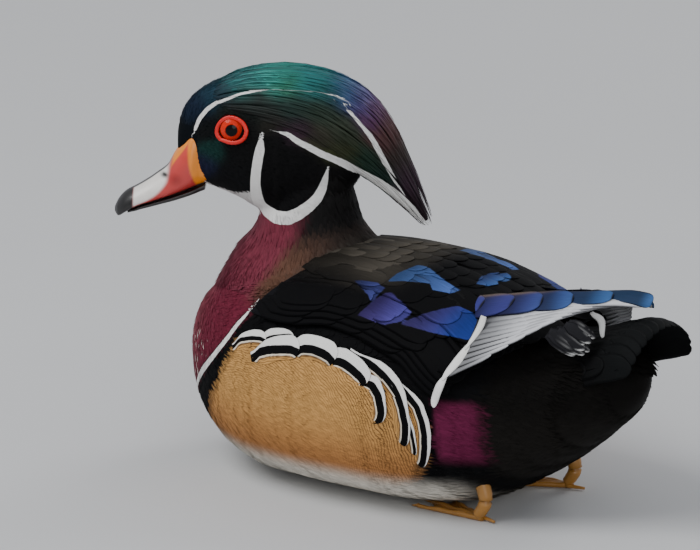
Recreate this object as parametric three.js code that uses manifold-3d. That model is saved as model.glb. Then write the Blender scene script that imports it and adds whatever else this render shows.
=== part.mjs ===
// A drake wood duck afloat, life size, at rest on its belly, in millimetres with +Z up.
// It faces -X and turns its head to its left, which is the -Y side.
import * as THREE from 'three';
import { mergeVertices } from 'three/addons/utils/BufferGeometryUtils.js';
import Module from 'manifold-3d';

const wasm = await Module();
wasm.setup();

// Driving dimensions
const GAP = 0.35;
const BODY_LENGTH = 214;
const BODY_HALF_WIDTH = 70;
const BACK_HEIGHT = 104;
const NECK_STATION = 55;
const NECK_RADIUS = 23;
const HEAD_TURN = THREE.MathUtils.degToRad(34);
const HEAD_HALF_WIDTH = 22;
const EYE_RADIUS = 7.2;
const CORNEA_SIDE = 18.3;
const IRIS_AT = { forward: 33, height: 157 };
const WING_THICKNESS = 5;
const TAIL_TIP = { station: 258, height: 96 };
const TAIL_ARCH_RADIUS = 23;
const FOOT_THICKNESS = 2.4;
const BODY_SIDES = 26;
const HEAD_SIDES = 20;
const BILL_SIDES = 14;

// Named sizes of the long feathers: width and thickness of one vane
const FEATHER = {
  scapular: { width: 16, thick: 1 },
  lesserCovert: { width: 20, thick: 0.9 },
  medianCovert: { width: 18, thick: 0.9 },
  greaterCovert: { width: 17, thick: 0.9 },
  tertial: { width: 13, thick: 0.9 },
  secondary: { width: 12.5, thick: 0.9 },
  primary: { width: 11, thick: 0.8 },
  plume: { width: 9, thick: 0.8 },
  tailFeather: { width: 7.6, thick: 0.8 },
  tailCovert: { width: 17, thick: 1 },
  crestLock: { width: 11, thick: 2.2 },
};

const DEG = Math.PI / 180;
const lerp = THREE.MathUtils.lerp;
const clamp = THREE.MathUtils.clamp;

// A smooth curve through a few [position, value] stations, with no overshoot between them.
function profile(stations) {
  const n = stations.length;
  const slope = [];
  for (let i = 0; i < n - 1; i += 1) {
    const [x0, y0] = stations[i];
    const [x1, y1] = stations[i + 1];
    slope.push((y1 - y0) / (x1 - x0));
  }
  const tangent = stations.map((_, i) => {
    if (i === 0) return slope[0];
    if (i === n - 1) return slope[n - 2];
    const a = slope[i - 1];
    const b = slope[i];
    return a * b <= 0 ? 0 : (2 * a * b) / (a + b);
  });
  return (x) => {
    const at = clamp(x, stations[0][0], stations[n - 1][0]);
    let i = 0;
    while (i < n - 2 && at > stations[i + 1][0]) i += 1;
    const [x0, y0] = stations[i];
    const [x1, y1] = stations[i + 1];
    const span = x1 - x0;
    const t = (at - x0) / span;
    const t2 = t * t;
    const t3 = t2 * t;
    return (2 * t3 - 3 * t2 + 1) * y0 + (t3 - 2 * t2 + t) * span * tangent[i]
      + (3 * t2 - 2 * t3) * y1 + (t3 - t2) * span * tangent[i + 1];
  };
}

// Closed geometry from an index list, with shared vertices merged.
function closedGeometry(positions, index) {
  const geometry = new THREE.BufferGeometry();
  geometry.setAttribute('position', new THREE.Float32BufferAttribute(positions, 3));
  geometry.setIndex(index);
  return mergeVertices(geometry, 1e-4);
}

// A skin over rings of equal count, closed at both ends by a fan.
function loft(rings) {
  const count = rings[0].length;
  const positions = [];
  const index = [];
  rings.forEach((ring) => ring.forEach((p) => positions.push(p.x, p.y, p.z)));
  for (let r = 0; r < rings.length - 1; r += 1) {
    for (let i = 0; i < count; i += 1) {
      const a = r * count + i;
      const b = r * count + (i + 1) % count;
      index.push(a, b, b + count, a, b + count, a + count);
    }
  }
  [0, rings.length - 1].forEach((r) => {
    const centre = new THREE.Vector3();
    rings[r].forEach((p) => centre.add(p));
    centre.divideScalar(count);
    const hub = positions.length / 3;
    positions.push(centre.x, centre.y, centre.z);
    for (let i = 0; i < count; i += 1) {
      const a = r * count + i;
      const b = r * count + (i + 1) % count;
      if (r === 0) index.push(hub, b, a);
      else index.push(hub, a, b);
    }
  });
  return closedGeometry(positions, index);
}

// One point of a rounded section: up and down have their own reach and fullness.
function sectionPoint(angle, section) {
  const s = Math.sin(angle);
  const c = Math.cos(angle);
  const full = c >= 0 ? section.fullTop : section.fullBottom;
  const reach = c >= 0 ? section.top - section.wide : section.wide - section.bottom;
  return {
    side: section.half * Math.sign(s) * Math.abs(s) ** (2 / full),
    height: section.wide + Math.sign(c) * reach * Math.abs(c) ** (2 / full),
  };
}

// Manifold solids

function solidOf(geometry) {
  const vertProperties = new Float32Array(geometry.attributes.position.array);
  const triVerts = new Uint32Array(geometry.index.array);
  const mesh = new wasm.Mesh({ numProp: 3, vertProperties, triVerts });
  mesh.merge();
  const solid = new wasm.Manifold(mesh);
  return solid.volume() < 0 ? turnedOut(geometry) : solid;
}

function turnedOut(geometry) {
  const index = Array.from(geometry.index.array);
  for (let i = 0; i < index.length; i += 3) {
    [index[i + 1], index[i + 2]] = [index[i + 2], index[i + 1]];
  }
  const flipped = geometry.clone();
  flipped.setIndex(index);
  const vertProperties = new Float32Array(flipped.attributes.position.array);
  const mesh = new wasm.Mesh({ numProp: 3, vertProperties, triVerts: new Uint32Array(index) });
  mesh.merge();
  return new wasm.Manifold(mesh);
}

// The largest closed surface of a solid, which fills sealed hollows and drops scraps.
// Rounding can close a crack into a hollow, so the rounded surface is sorted once more.
function largestBody(solid, rounds = 3) {
  const parts = solid.decompose();
  const whole = parts.reduce((a, b) => (b.volume() > a.volume() ? b : a));
  const mesh = whole.getMesh();
  const stride = mesh.numProp;
  const positions = [];
  for (let i = 0; i < mesh.vertProperties.length; i += stride) {
    positions.push(...mesh.vertProperties.slice(i, i + 3));
  }
  const geometry = closedGeometry(positions, Array.from(mesh.triVerts));
  return rounds > 1 ? largestBody(solidOf(geometry), rounds - 1) : geometry;
}

function mirrored(geometry) {
  const copy = geometry.clone();
  copy.scale(1, -1, 1);
  const index = Array.from(copy.index.array);
  for (let i = 0; i < index.length; i += 3) {
    [index[i + 1], index[i + 2]] = [index[i + 2], index[i + 1]];
  }
  copy.setIndex(index);
  return copy;
}

function boxSolid(width, depth, height, x, y, z) {
  const geometry = new THREE.BoxGeometry(width, depth, height);
  geometry.deleteAttribute('normal');
  geometry.deleteAttribute('uv');
  geometry.translate(x, y, z);
  return solidOf(mergeVertices(geometry, 1e-4));
}

// A closed plate from a grid of points, split into triangles alike on both faces.
function plate(pointAt, across, along) {
  const positions = [];
  const index = [];
  for (const face of [0, 1]) {
    for (let i = 0; i <= along; i += 1) {
      for (let j = 0; j <= across; j += 1) {
        const p = pointAt(i / along, j / across, face);
        positions.push(p.x, p.y, p.z);
      }
    }
  }
  const row = across + 1;
  const sheet = (along + 1) * row;
  for (let i = 0; i < along; i += 1) {
    for (let j = 0; j < across; j += 1) {
      const a = i * row + j;
      const b = a + 1;
      const c = a + row;
      const d = c + 1;
      index.push(a, c, b, b, c, d);
      index.push(a + sheet, b + sheet, c + sheet, b + sheet, d + sheet, c + sheet);
    }
  }
  const rim = [];
  for (let j = 0; j < across; j += 1) rim.push(j);
  for (let i = 0; i < along; i += 1) rim.push(i * row + across);
  for (let j = across; j > 0; j -= 1) rim.push(along * row + j);
  for (let i = along; i > 0; i -= 1) rim.push(i * row);
  rim.forEach((a, k) => {
    const b = rim[(k + 1) % rim.length];
    index.push(a, b, b + sheet, a, b + sheet, a + sheet);
  });
  return closedGeometry(positions, index);
}

// Seeded variation, so that no two feathers are quite alike.
let seed = 20261;
function vary(amount) {
  seed = (seed * 1664525 + 1013904223) % 4294967296;
  return (seed / 4294967296 - 0.5) * 2 * amount;
}

const vaneSpread = profile([[0, 0.6], [0.4, 1], [0.78, 0.96], [0.93, 0.62], [1, 0.22]]);
const VANE_STEPS = [0, 0.4, 0.78, 0.93, 1];
const lockSpread = profile([[0, 0.6], [0.4, 1], [0.78, 0.62], [1, 0.1]]);
const LOCK_STEPS = [0, 0.4, 0.78, 1];

// One feather over a surface. Its line runs from root to tip in the surface's own two
// measures, its outer face rises from the root's height to the tip's, and it is tilted
// so that one edge goes under its neighbour.
function vane(surface, { from, to, width, thick, rise, tilt = 0, spread, steps, across = 1 }) {
  const nearby = 0.01;
  return plate((t, q, face) => {
    const s = steps[Math.round(t * (steps.length - 1))];
    const u = lerp(from[0], to[0], s);
    const v = lerp(from[1], to[1], s);
    const scale = surface(u, v + nearby, 0).distanceTo(surface(u, v - nearby, 0)) / (2 * nearby);
    const side = (2 * q - 1) * (width / 2) * spread(s);
    const lift = lerp(rise[0], rise[1], Math.sqrt(s)) + tilt * (2 * q - 1) * Math.min(1, 3 * s);
    return surface(u, v + side / scale, lift - thick * (1 - face));
  }, across, steps.length - 1);
}

function feather(surface, kind, shape) {
  const size = FEATHER[kind];
  return solidOf(vane(surface, {
    width: size.width, thick: size.thick, spread: vaneSpread, steps: VANE_STEPS, ...shape,
  }));
}

function fused(solids) {
  return wasm.Manifold.union(solids);
}

// Body form: stations run from the breast to the root of the tail.

const bodyHalf = profile([[0, 3], [4, 18], [12, 30], [25, 43], [45, 56.5], [70, 66],
  [100, BODY_HALF_WIDTH], [130, 69.5], [160, 64], [185, 54], [205, 43], [BODY_LENGTH, 38]]);
const bodyTop = profile([[0, 54], [4, 68], [12, 80], [25, 90], [45, 98], [70, 102],
  [100, BACK_HEIGHT], [130, 103.5], [160, 98.5], [185, 91.5], [205, 87.5], [BODY_LENGTH, 86]]);
const bodyBottom = profile([[0, 48], [4, 34], [12, 21], [25, 9.5], [45, 1], [62, -2],
  [130, -2], [158, 0], [185, 11], [205, 24], [BODY_LENGTH, 31]]);
const bodyWide = profile([[0, 50], [25, 48], [70, 46], [130, 47], [160, 50], [185, 55],
  [BODY_LENGTH, 60]]);

function bodySection(station, grow = 0) {
  return {
    half: bodyHalf(station) + grow,
    top: bodyTop(station) + grow,
    bottom: bodyBottom(station) - grow,
    wide: bodyWide(station),
    fullTop: 2.2,
    fullBottom: 2.4,
  };
}

function bodyPoint(station, angle, grow = 0) {
  const p = sectionPoint(angle, bodySection(station, grow));
  return new THREE.Vector3(station, -p.side, p.height);
}

// The outward direction of the body's surface, by small steps along and round it.
function bodyNormal(station, angle) {
  const step = 0.5;
  const turn = 0.01;
  const along = bodyPoint(station + step, angle).sub(bodyPoint(station - step, angle));
  const round = bodyPoint(station, angle + turn).sub(bodyPoint(station, angle - turn));
  return round.cross(along).normalize();
}

function onBody(station, angle, lift) {
  return bodyPoint(station, angle).addScaledVector(bodyNormal(station, angle), lift);
}

function bodyRings(from, to, steps, grow = 0) {
  const rings = [];
  for (let k = 0; k <= steps; k += 1) {
    const t = k / steps;
    const eased = from < 1 ? t ** 1.6 : t;
    const station = lerp(from, to, eased);
    const ring = [];
    for (let i = 0; i < BODY_SIDES; i += 1) {
      ring.push(bodyPoint(station, (i / BODY_SIDES) * 2 * Math.PI, grow));
    }
    if (k === 0) ring.forEach((p) => { p.x -= grow; });
    if (k === steps) ring.forEach((p) => { p.x += grow; });
    rings.push(ring);
  }
  return rings;
}

const floorCut = boxSolid(400, 300, 40, 130, 0, -20);
const torsoSolid = solidOf(loft(bodyRings(0, BODY_LENGTH, 16))).subtract(floorCut);
const torsoClear = solidOf(loft(bodyRings(0, BODY_LENGTH, 16, GAP)));

// Head frame: forward, to its left and up from the neck's axis.

const HEAD_FORWARD = new THREE.Vector3(-Math.cos(HEAD_TURN), -Math.sin(HEAD_TURN), 0);
const HEAD_LEFT = new THREE.Vector3(Math.sin(HEAD_TURN), -Math.cos(HEAD_TURN), 0);

function headPoint(forward, left, height) {
  return new THREE.Vector3(NECK_STATION, 0, height)
    .addScaledVector(HEAD_FORWARD, forward)
    .addScaledVector(HEAD_LEFT, left);
}

const headHalf = profile([[-26, 3], [-23, 12], [-18, 17], [-8, 20.5], [6, HEAD_HALF_WIDTH],
  [20, 21], [33, 17.6], [40, 15], [45, 12.2], [50, 9.2], [55, 7], [58.6, 4.2], [59.8, 1.5]]);
const headTop = profile([[-26, 146], [-23, 157], [-18, 163.5], [-8, 170.5], [6, 175.5],
  [20, 178.5], [33, 179.5], [40, 177.5], [45, 175], [50, 171.5], [55, 165.5], [58.6, 155],
  [59.8, 148]]);
const headBottom = profile([[-26, 141], [-23, 131], [-18, 125], [-8, 117.5], [6, 113.5],
  [16, 113.5], [24, 117], [31, 121], [40, 124.5], [50, 128.5], [55, 133], [58.6, 139],
  [59.8, 144]]);

function headSection(forward, grow = 0) {
  const top = headTop(forward);
  const bottom = headBottom(forward);
  return {
    half: headHalf(forward) + grow,
    top: top + grow,
    bottom: bottom - grow,
    wide: lerp(bottom, top, 0.45),
    fullTop: 2.1,
    fullBottom: 2.3,
  };
}

function headRings(grow = 0) {
  const rings = [];
  const steps = 14;
  for (let k = 0; k <= steps; k += 1) {
    const forward = lerp(-26, 59.8, (1 - Math.cos((k / steps) * Math.PI)) / 2);
    const push = grow * (k === 0 ? -1 : k === steps ? 1 : 0);
    const ring = [];
    for (let i = 0; i < HEAD_SIDES; i += 1) {
      const p = sectionPoint((i / HEAD_SIDES) * 2 * Math.PI, headSection(forward, grow));
      ring.push(headPoint(forward + push, p.side, p.height));
    }
    rings.push(ring);
  }
  return rings;
}

function eyeBall(radius, side) {
  const ball = new THREE.SphereGeometry(radius, 14, 8);
  ball.deleteAttribute('normal');
  ball.deleteAttribute('uv');
  const at = headPoint(IRIS_AT.forward, side * (CORNEA_SIDE - EYE_RADIUS), IRIS_AT.height);
  ball.translate(at.x, at.y, at.z);
  return solidOf(mergeVertices(ball, 1e-4));
}

const headClear = solidOf(loft(headRings(GAP)));
const headSolid = solidOf(loft(headRings()))
  .subtract(eyeBall(EYE_RADIUS + GAP, 1))
  .subtract(eyeBall(EYE_RADIUS + GAP, -1));

// How far the head's side stands out at a place on it
function headSide(forward, height) {
  const { half, top, bottom, wide, fullTop, fullBottom } = headSection(forward);
  const full = height >= wide ? fullTop : fullBottom;
  const reach = height >= wide ? top - wide : wide - bottom;
  const share = clamp(Math.abs(height - wide) / reach, 0, 1);
  return half * (1 - share ** full) ** (1 / full);
}

// A red ring of lid round each eye, drawn to a point at its front
function lid(side) {
  const ring = new THREE.TorusGeometry(6.05, 1.1, 5, 15);
  ring.deleteAttribute('normal');
  ring.deleteAttribute('uv');
  const place = ring.attributes.position;
  for (let i = 0; i < place.count; i += 1) {
    const x = place.getX(i);
    const y = place.getY(i);
    const front = Math.max(0, x / 6.4) ** 3;
    const forward = IRIS_AT.forward + x * 1.02 + front * 0.9;
    const height = IRIS_AT.height + y * 0.9 - front * 2;
    const p = headPoint(forward, side * (headSide(forward, height) + 0.1 + place.getZ(i)), height);
    place.setXYZ(i, p.x, p.y, p.z);
  }
  return solidOf(mergeVertices(ring, 1e-4)).subtract(eyeBall(EYE_RADIUS + GAP, side));
}

// Neck: level rings from the shoulders to the throat.

const neckCentre = profile([[76, 60], [100, 59], [114, 56.3], [128, 54.6], [146, 53.5]]);
const neckDeep = profile([[76, 51], [84, 46], [92, 41.5], [100, 36], [107, 29], [114, 24.6],
  [121, 23.4], [128, NECK_RADIUS], [146, 18]]);
const neckHalf = profile([[76, 44], [84, 40], [92, 35], [100, 29], [107, 25.3], [114, 23.4],
  [121, 22.6], [128, 21.6], [146, 17]]);

function neckRings(grow = 0) {
  const rings = [];
  const steps = 8;
  for (let k = 0; k <= steps; k += 1) {
    const height = lerp(78, 146, k / steps) + grow * (k === 0 ? -1 : k === steps ? 1 : 0);
    const ring = [];
    for (let i = 0; i < HEAD_SIDES; i += 1) {
      const angle = (i / HEAD_SIDES) * 2 * Math.PI;
      ring.push(new THREE.Vector3(
        neckCentre(height) + (neckDeep(height) + grow) * Math.cos(angle),
        (neckHalf(height) + grow) * Math.sin(angle),
        height,
      ));
    }
    rings.push(ring);
  }
  return rings;
}

const neckClear = solidOf(loft(neckRings(GAP)));
const neckSolid = solidOf(loft(neckRings())).subtract(torsoClear).subtract(headClear);

// Bill: sections across it, from inside the face to the nail.

const billTop = profile([[44, 153], [49.5, 154.8], [52, 153], [55, 148.5], [60, 141.6],
  [63, 136], [67, 132.8], [71, 129.8], [77, 126], [82, 123.2], [85.4, 119.4], [87, 116]]);
const billBottom = profile([[44, 129.5], [50, 127], [60, 123], [70, 119.4], [77, 117],
  [82, 114], [85.4, 112], [87, 113.6]]);
const billFull = profile([[44, 3], [52, 2.8], [60, 2.1], [66, 1.9]]);
const billHalf = profile([[44, 11], [50, 10.9], [55, 10], [60, 9.3], [66, 8.2], [72, 7.7],
  [78, 7.6], [82, 6.9], [85.4, 4.6], [87, 1.6]]);

function billRings(from, to, steps, { top, bottom, half, full, widest }) {
  const rings = [];
  for (let k = 0; k <= steps; k += 1) {
    const forward = lerp(from, to, Math.sin((k / steps) * Math.PI * 0.5));
    const section = {
      half: half(forward),
      top: top(forward),
      bottom: bottom(forward),
      wide: lerp(bottom(forward), top(forward), widest),
      fullTop: full(forward),
      fullBottom: 3,
    };
    const ring = [];
    for (let i = 0; i < BILL_SIDES; i += 1) {
      const p = sectionPoint((i / BILL_SIDES) * 2 * Math.PI, section);
      ring.push(headPoint(forward, p.side, p.height));
    }
    rings.push(ring);
  }
  return rings;
}

function nostrilCut(side) {
  const hole = new THREE.SphereGeometry(1, 8, 6);
  hole.deleteAttribute('normal');
  hole.deleteAttribute('uv');
  hole.scale(2.2, 1.2, 0.8);
  hole.rotateY(30 * DEG);
  hole.rotateZ(HEAD_TURN);
  const at = headPoint(64.2, side * 5.6, 132.2);
  hole.translate(at.x, at.y, at.z);
  return solidOf(mergeVertices(hole, 1e-4));
}

const upperForm = {
  top: billTop, bottom: billBottom, half: billHalf, full: billFull, widest: 0.28,
};
const upperBill = solidOf(loft(billRings(44, 87, 10, upperForm)))
  .subtract(headClear)
  .subtract(nostrilCut(1))
  .subtract(nostrilCut(-1));
const billClear = solidOf(loft(billRings(44, 87, 10, {
  ...upperForm, bottom: (f) => billBottom(f) - GAP, half: (f) => billHalf(f) + GAP,
})));
const lowerTop = (f) => billBottom(Math.min(f, 77)) - GAP - Math.max(0, f - 77) * 0.4;
const lowerForm = {
  top: lowerTop,
  bottom: (f) => lowerTop(f) - lerp(3.4, 1.6, clamp((f - 46) / 36, 0, 1)),
  half: (f) => billHalf(Math.min(f, 78)) - 0.9 - Math.max(0, f - 77) * 0.5,
  full: () => 6,
  widest: 0.6,
};
const lowerBill = solidOf(loft(billRings(46, 81, 7, lowerForm)))
  .subtract(headClear)
  .subtract(billClear);

// Crest: it sweeps from the crown down the nape to loose tips.

const CREST_SPINE = [[46, 166], [30, 169], [12, 169], [-4, 165], [-17, 157], [-28, 146.5],
  [-38, 134.5], [-47, 121.5], [-55, 110]];
const crestUp = profile([[0, 3], [0.12, 10], [0.3, 14], [0.5, 16.5], [0.62, 14], [0.75, 9.5],
  [0.88, 5.5], [1, 1.2]]);
const crestDown = profile([[0, 3], [0.12, 8], [0.3, 12.5], [0.5, 14], [0.62, 12], [0.75, 8],
  [0.88, 4], [1, 1.2]]);
const crestHalf = profile([[0, 4], [0.12, 14.5], [0.3, 20.5], [0.45, 21], [0.6, 17],
  [0.75, 10.5], [0.88, 6], [1, 1.5]]);

const crestSpine = new THREE.SplineCurve(CREST_SPINE.map(([f, z]) => new THREE.Vector2(f, z)));

// A point of the crest's form: t runs down the spine, angle goes round from the top.
function crestPoint(t, angle, lift) {
  const at = crestSpine.getPoint(t);
  const run = crestSpine.getTangent(t);
  const p = sectionPoint(angle, {
    half: Math.max(0.4, crestHalf(t) + lift),
    top: Math.max(0.4, crestUp(t) + lift),
    bottom: -Math.max(0.4, crestDown(t) + lift),
    wide: 0,
    fullTop: 2.1,
    fullBottom: 2.8,
  });
  return headPoint(at.x + run.y * p.height, p.side, at.y - run.x * p.height);
}

function crestCore(to, lift) {
  const rings = [];
  const steps = 9;
  for (let k = 0; k <= steps; k += 1) {
    const ring = [];
    for (let i = 0; i < HEAD_SIDES; i += 1) {
      ring.push(crestPoint((k / steps) * to, (i / HEAD_SIDES) * 2 * Math.PI, lift));
    }
    rings.push(ring);
  }
  return solidOf(loft(rings));
}

// Tiers of locks down the crest: where roots and tips lie and how far round they go.
const CREST_TIERS = [
  { count: 5, root: 0.34, tip: 0.62, round: 108, width: 16 },
  { count: 6, root: 0.48, tip: 0.79, round: 150, width: 12 },
  { count: 5, root: 0.55, tip: 0.9, round: 144, width: 9 },
  { count: 4, root: 0.58, tip: 0.97, round: 130, width: 7 },
];

function crestLocks() {
  const locks = [];
  CREST_TIERS.forEach(({ count, root, tip, round, width }, tier) => {
    for (let i = 0; i < count; i += 1) {
      const angle = lerp(-round, round, i / (count - 1)) * DEG;
      const side = Math.sign(angle) || 1;
      const turn = vary(0.06);
      locks.push(solidOf(vane((t, a, lift) => crestPoint(t, a, lift), {
        from: [root, angle * 0.94],
        to: [tip + vary(0.015), angle + turn],
        width: width,
        thick: FEATHER.crestLock.thick,
        rise: [-2.6, 0.2 - 0.25 * tier],
        tilt: -0.5 * side,
        spread: lockSpread,
        steps: LOCK_STEPS,
        across: tier === 0 ? 2 : 1,
      })));
    }
  });
  return locks;
}

const crestSolid = fused([crestCore(0.66, -1), ...crestLocks()])
  .subtract(headClear)
  .subtract(neckClear);

// Wings: a folded plate over each side of the back, and the primaries beyond it.

const wingRear = profile([[0, 212], [0.35, 202], [0.65, 188], [1, 173]]);
const wingLow = profile([[58, 80], [85, 80], [110, 84], [125, 83], [140, 80], [155, 75],
  [165, 68], [176, 58]]);

// The angle round the body at which its side stands at a height.
function angleAtHeight(station, height) {
  let low = 0;
  let high = 90 * DEG;
  for (let i = 0; i < 24; i += 1) {
    const mid = (low + high) / 2;
    if (bodyPoint(station, mid).z > height) low = mid;
    else high = mid;
  }
  return low;
}

// Where the folded wing lies on the body: t runs back from the shoulder, q down from the spine.
function wingPlace(t, q) {
  const station = lerp(lerp(88, 60, q), wingRear(q), t);
  const low = angleAtHeight(station, wingLow(station));
  return { station, angle: lerp(5 * DEG, low, q) };
}

function onWing(t, q, lift) {
  const { station, angle } = wingPlace(t, q);
  return onBody(station, angle, lift);
}

// The wing's flesh and hidden feather roots
function wingCore() {
  return solidOf(plate((t, q, face) => {
    const edge = Math.min(1, 6 * t, 6 * (1 - q) + 0.3, 6 * q + 0.3, 4 * (1 - t) + 0.3);
    const lift = face === 0 ? GAP : GAP + 0.8 + 2.6 * Math.sqrt(edge);
    return onWing(lerp(0, 0.84, t), lerp(0, 0.96, q), lift);
  }, 6, 8));
}

// Tiers of the folded wing from the rear forward: each covers the roots of the one behind.
const WING_TIERS = [
  { kind: 'secondary', count: 5, tip: 1, length: 0.4, from: 0.42, to: 0.93, rise: [1.4, 2] },
  { kind: 'tertial', count: 3, tip: 0.99, length: 0.46, from: 0.08, to: 0.32, rise: [1.6, 2.9] },
  { kind: 'greaterCovert', count: 4, tip: 0.79, length: 0.34, from: 0.44, to: 0.92, rise: [1.8, 3.7] },
  { kind: 'medianCovert', count: 4, tip: 0.54, length: 0.3, from: 0.42, to: 0.91, rise: [2.2, 4.4] },
  { kind: 'lesserCovert', count: 3, tip: 0.32, length: 0.28, from: 0.45, to: 0.88, rise: [2.2, 4.8] },
  { kind: 'scapular', count: 3, tip: 0.86, length: 0.5, from: 0.08, to: 0.38, rise: [2, 4.1] },
  { kind: 'scapular', count: 3, tip: 0.58, length: 0.42, from: 0.1, to: 0.44, rise: [2.4, 4.9] },
];

function wingVanes() {
  const vanes = [];
  WING_TIERS.forEach(({ kind, count, tip, length, from, to, rise }) => {
    for (let i = 0; i < count; i += 1) {
      const q = lerp(from, to, i / (count - 1));
      const end = tip + (tip > 0.95 ? 0 : vary(0.02));
      vanes.push(feather(onWing, kind, {
        from: [Math.max(0.01, end - length), q + vary(0.01)],
        to: [end, q],
        rise,
        tilt: -0.7,
      }));
    }
  });
  return vanes;
}

// The room that the wing plate and a small gap round it take up.
function wingRoom() {
  return plate((t, q, face) => {
    const spread = GAP * 0.02 * (2 * q - 1);
    const { station, angle } = wingPlace(t, lerp(-0.02, 1.06, q));
    return onBody(station + 2 * GAP * (2 * t - 1), angle + spread,
      face === 0 ? 0 : WING_THICKNESS + 3 * GAP);
  }, 10, 12);
}

// The long flight feathers lie between an upper and a lower edge that meet at the tip.
const primaryUpper = new THREE.CatmullRomCurve3([
  new THREE.Vector3(164, -13, 98.5), new THREE.Vector3(200, -16, 107),
  new THREE.Vector3(223, -9, 109.4), new THREE.Vector3(245, -5, 111.3),
  new THREE.Vector3(256, -4.6, 109.6)]);
const primaryLower = new THREE.CatmullRomCurve3([
  new THREE.Vector3(180, -59, 73), new THREE.Vector3(200, -50, 85),
  new THREE.Vector3(214, -37, 95), new THREE.Vector3(232, -18, 102.8),
  new THREE.Vector3(253, -7, 106)]);

// A point of the folded fan of primaries: t runs to the tip, q from upper to lower edge.
function onPrimaries(t, q, lift) {
  const upper = primaryUpper.getPoint(clamp(t, 0, 1));
  const lower = primaryLower.getPoint(clamp(t, 0, 1));
  const across = lower.clone().sub(upper);
  const out = primaryUpper.getTangent(clamp(t, 0, 1)).cross(across).normalize();
  const bulge = 4 * Math.sin(clamp(q, 0, 1) * Math.PI) * (1 - 0.6 * t);
  return upper.addScaledVector(across, q).addScaledVector(out, bulge + lift);
}

// Each inner primary lies over the next outer one, which runs on beyond it to the tip.
function primaryVanes() {
  const vanes = [];
  const count = 6;
  for (let i = 0; i < count; i += 1) {
    const k = i / (count - 1);
    vanes.push(feather(onPrimaries, 'primary', {
      from: [0, lerp(0.14, 0.9, k)],
      to: [lerp(0.4, 1, k ** 0.8), lerp(0.2, 0.5, k ** 3)],
      width: lerp(FEATHER.primary.width, 7, k),
      rise: [0.6, lerp(1.9, 0.2, k)],
      tilt: -0.3,
    }));
  }
  return vanes;
}

// White-tipped plumes that hang beyond the wing's lower edge, under the primaries.
const PLUMES = [
  { root: [204, -38, 97.5], tip: [228, -25, 82.6] },
  { root: [209, -33, 99.5], tip: [232, -23, 86.5] },
  { root: [215, -28, 101], tip: [235, -20.5, 91.5] },
];

function plumeVanes() {
  return PLUMES.map(({ root, tip }) => {
    const start = new THREE.Vector3(...root);
    const run = new THREE.Vector3(...tip).sub(start);
    const out = new THREE.Vector3(0.3, -0.8, 0.52).normalize();
    const across = out.clone().cross(run).normalize();
    return feather((t, q, lift) => start.clone()
      .addScaledVector(run, t)
      .addScaledVector(across, q)
      .addScaledVector(out, lift + 1.6 * Math.sin(t * Math.PI)), 'plume', {
      from: [0, 0], to: [1, 0], rise: [0, 0],
    });
  });
}

// How far the right wing's folded tips lie under the left wing's, station by station.
const rightDrop = profile([[164, 2], [185, 7], [205, 8], [225, 6.5], [256, 5.5]]);
const RIGHT_SHORTER = 7;
const PLUME_DROP = 2.8;

function primaries(under) {
  const core = solidOf(plate(
    (t, q, face) => onPrimaries(0.42 * t, lerp(0.03, 0.97, q), face === 0 ? -1.2 : 0.6), 3, 4));
  const fan = fused([core, ...primaryVanes()]).warp((p) => {
    p[2] -= under * rightDrop(p[0]);
    p[0] -= under * RIGHT_SHORTER * clamp((p[0] - 200) / 56, 0, 1);
  });
  const plumes = fused(plumeVanes()).warp((p) => {
    p[2] -= under * PLUME_DROP;
  });
  return fused([fan, plumes]);
}

const wingLeft = largestBody(
  fused([wingCore(), ...wingVanes()]).subtract(torsoClear).subtract(neckClear),
);
const [primariesLeft, primariesRight] = [0, 1].map((under) => largestBody(
  primaries(under).subtract(torsoClear).subtract(solidOf(wingRoom())),
));

// Tail: a roof of feathers over the coverts at the stern.

const tailRidge = profile([[200, 85], [221, 88.5], [238, 95], [249, 98.2], [254, 98],
  [TAIL_TIP.station, TAIL_TIP.height]]);
const tailArch = profile([[200, 22], [225, 23.5], [250, 23.5], [TAIL_TIP.station, TAIL_ARCH_RADIUS]]);
const sternHalf = profile([[BODY_LENGTH, 38], [222, 31], [232, 22.5], [240, 15], [247, 5]]);
const sternTop = profile([[BODY_LENGTH, 86], [222, 86], [232, 85], [240, 82], [247, 76]]);
const sternBottom = profile([[BODY_LENGTH, 31], [222, 37], [232, 45], [240, 53], [247, 64]]);

function sternRings() {
  const rings = [];
  const steps = 5;
  for (let k = 0; k <= steps; k += 1) {
    const station = lerp(BODY_LENGTH + GAP, 247, k / steps);
    const section = {
      half: sternHalf(station),
      top: sternTop(station),
      bottom: sternBottom(station),
      wide: lerp(sternBottom(station), sternTop(station), 0.55),
      fullTop: 2.2,
      fullBottom: 2.2,
    };
    const ring = [];
    for (let i = 0; i < BODY_SIDES; i += 1) {
      const p = sectionPoint((i / BODY_SIDES) * 2 * Math.PI, section);
      ring.push(new THREE.Vector3(station, -p.side, p.height));
    }
    rings.push(ring);
  }
  return rings;
}

// The tail's roof: station along it, angle round its arch from the ridge.
function onTail(station, angle, lift) {
  const radius = tailArch(station) + lift;
  const centre = tailRidge(station) - tailArch(station);
  return new THREE.Vector3(station, -radius * Math.sin(angle), centre + radius * Math.cos(angle));
}

const TAIL_FEATHERS = 14;
const TAIL_SPREAD = 74 * DEG;

function tailVanes() {
  const vanes = [];
  for (let i = 0; i < TAIL_FEATHERS; i += 1) {
    const angle = lerp(-TAIL_SPREAD, TAIL_SPREAD, i / (TAIL_FEATHERS - 1));
    const tip = lerp(251, TAIL_TIP.station, Math.sqrt(Math.cos(angle)));
    vanes.push(feather(onTail, 'tailFeather', {
      from: [216, angle * 0.8],
      to: [tip, angle],
      rise: [-4.5, 0],
      tilt: -0.7 * Math.sign(angle),
    }));
  }
  return vanes;
}

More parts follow.
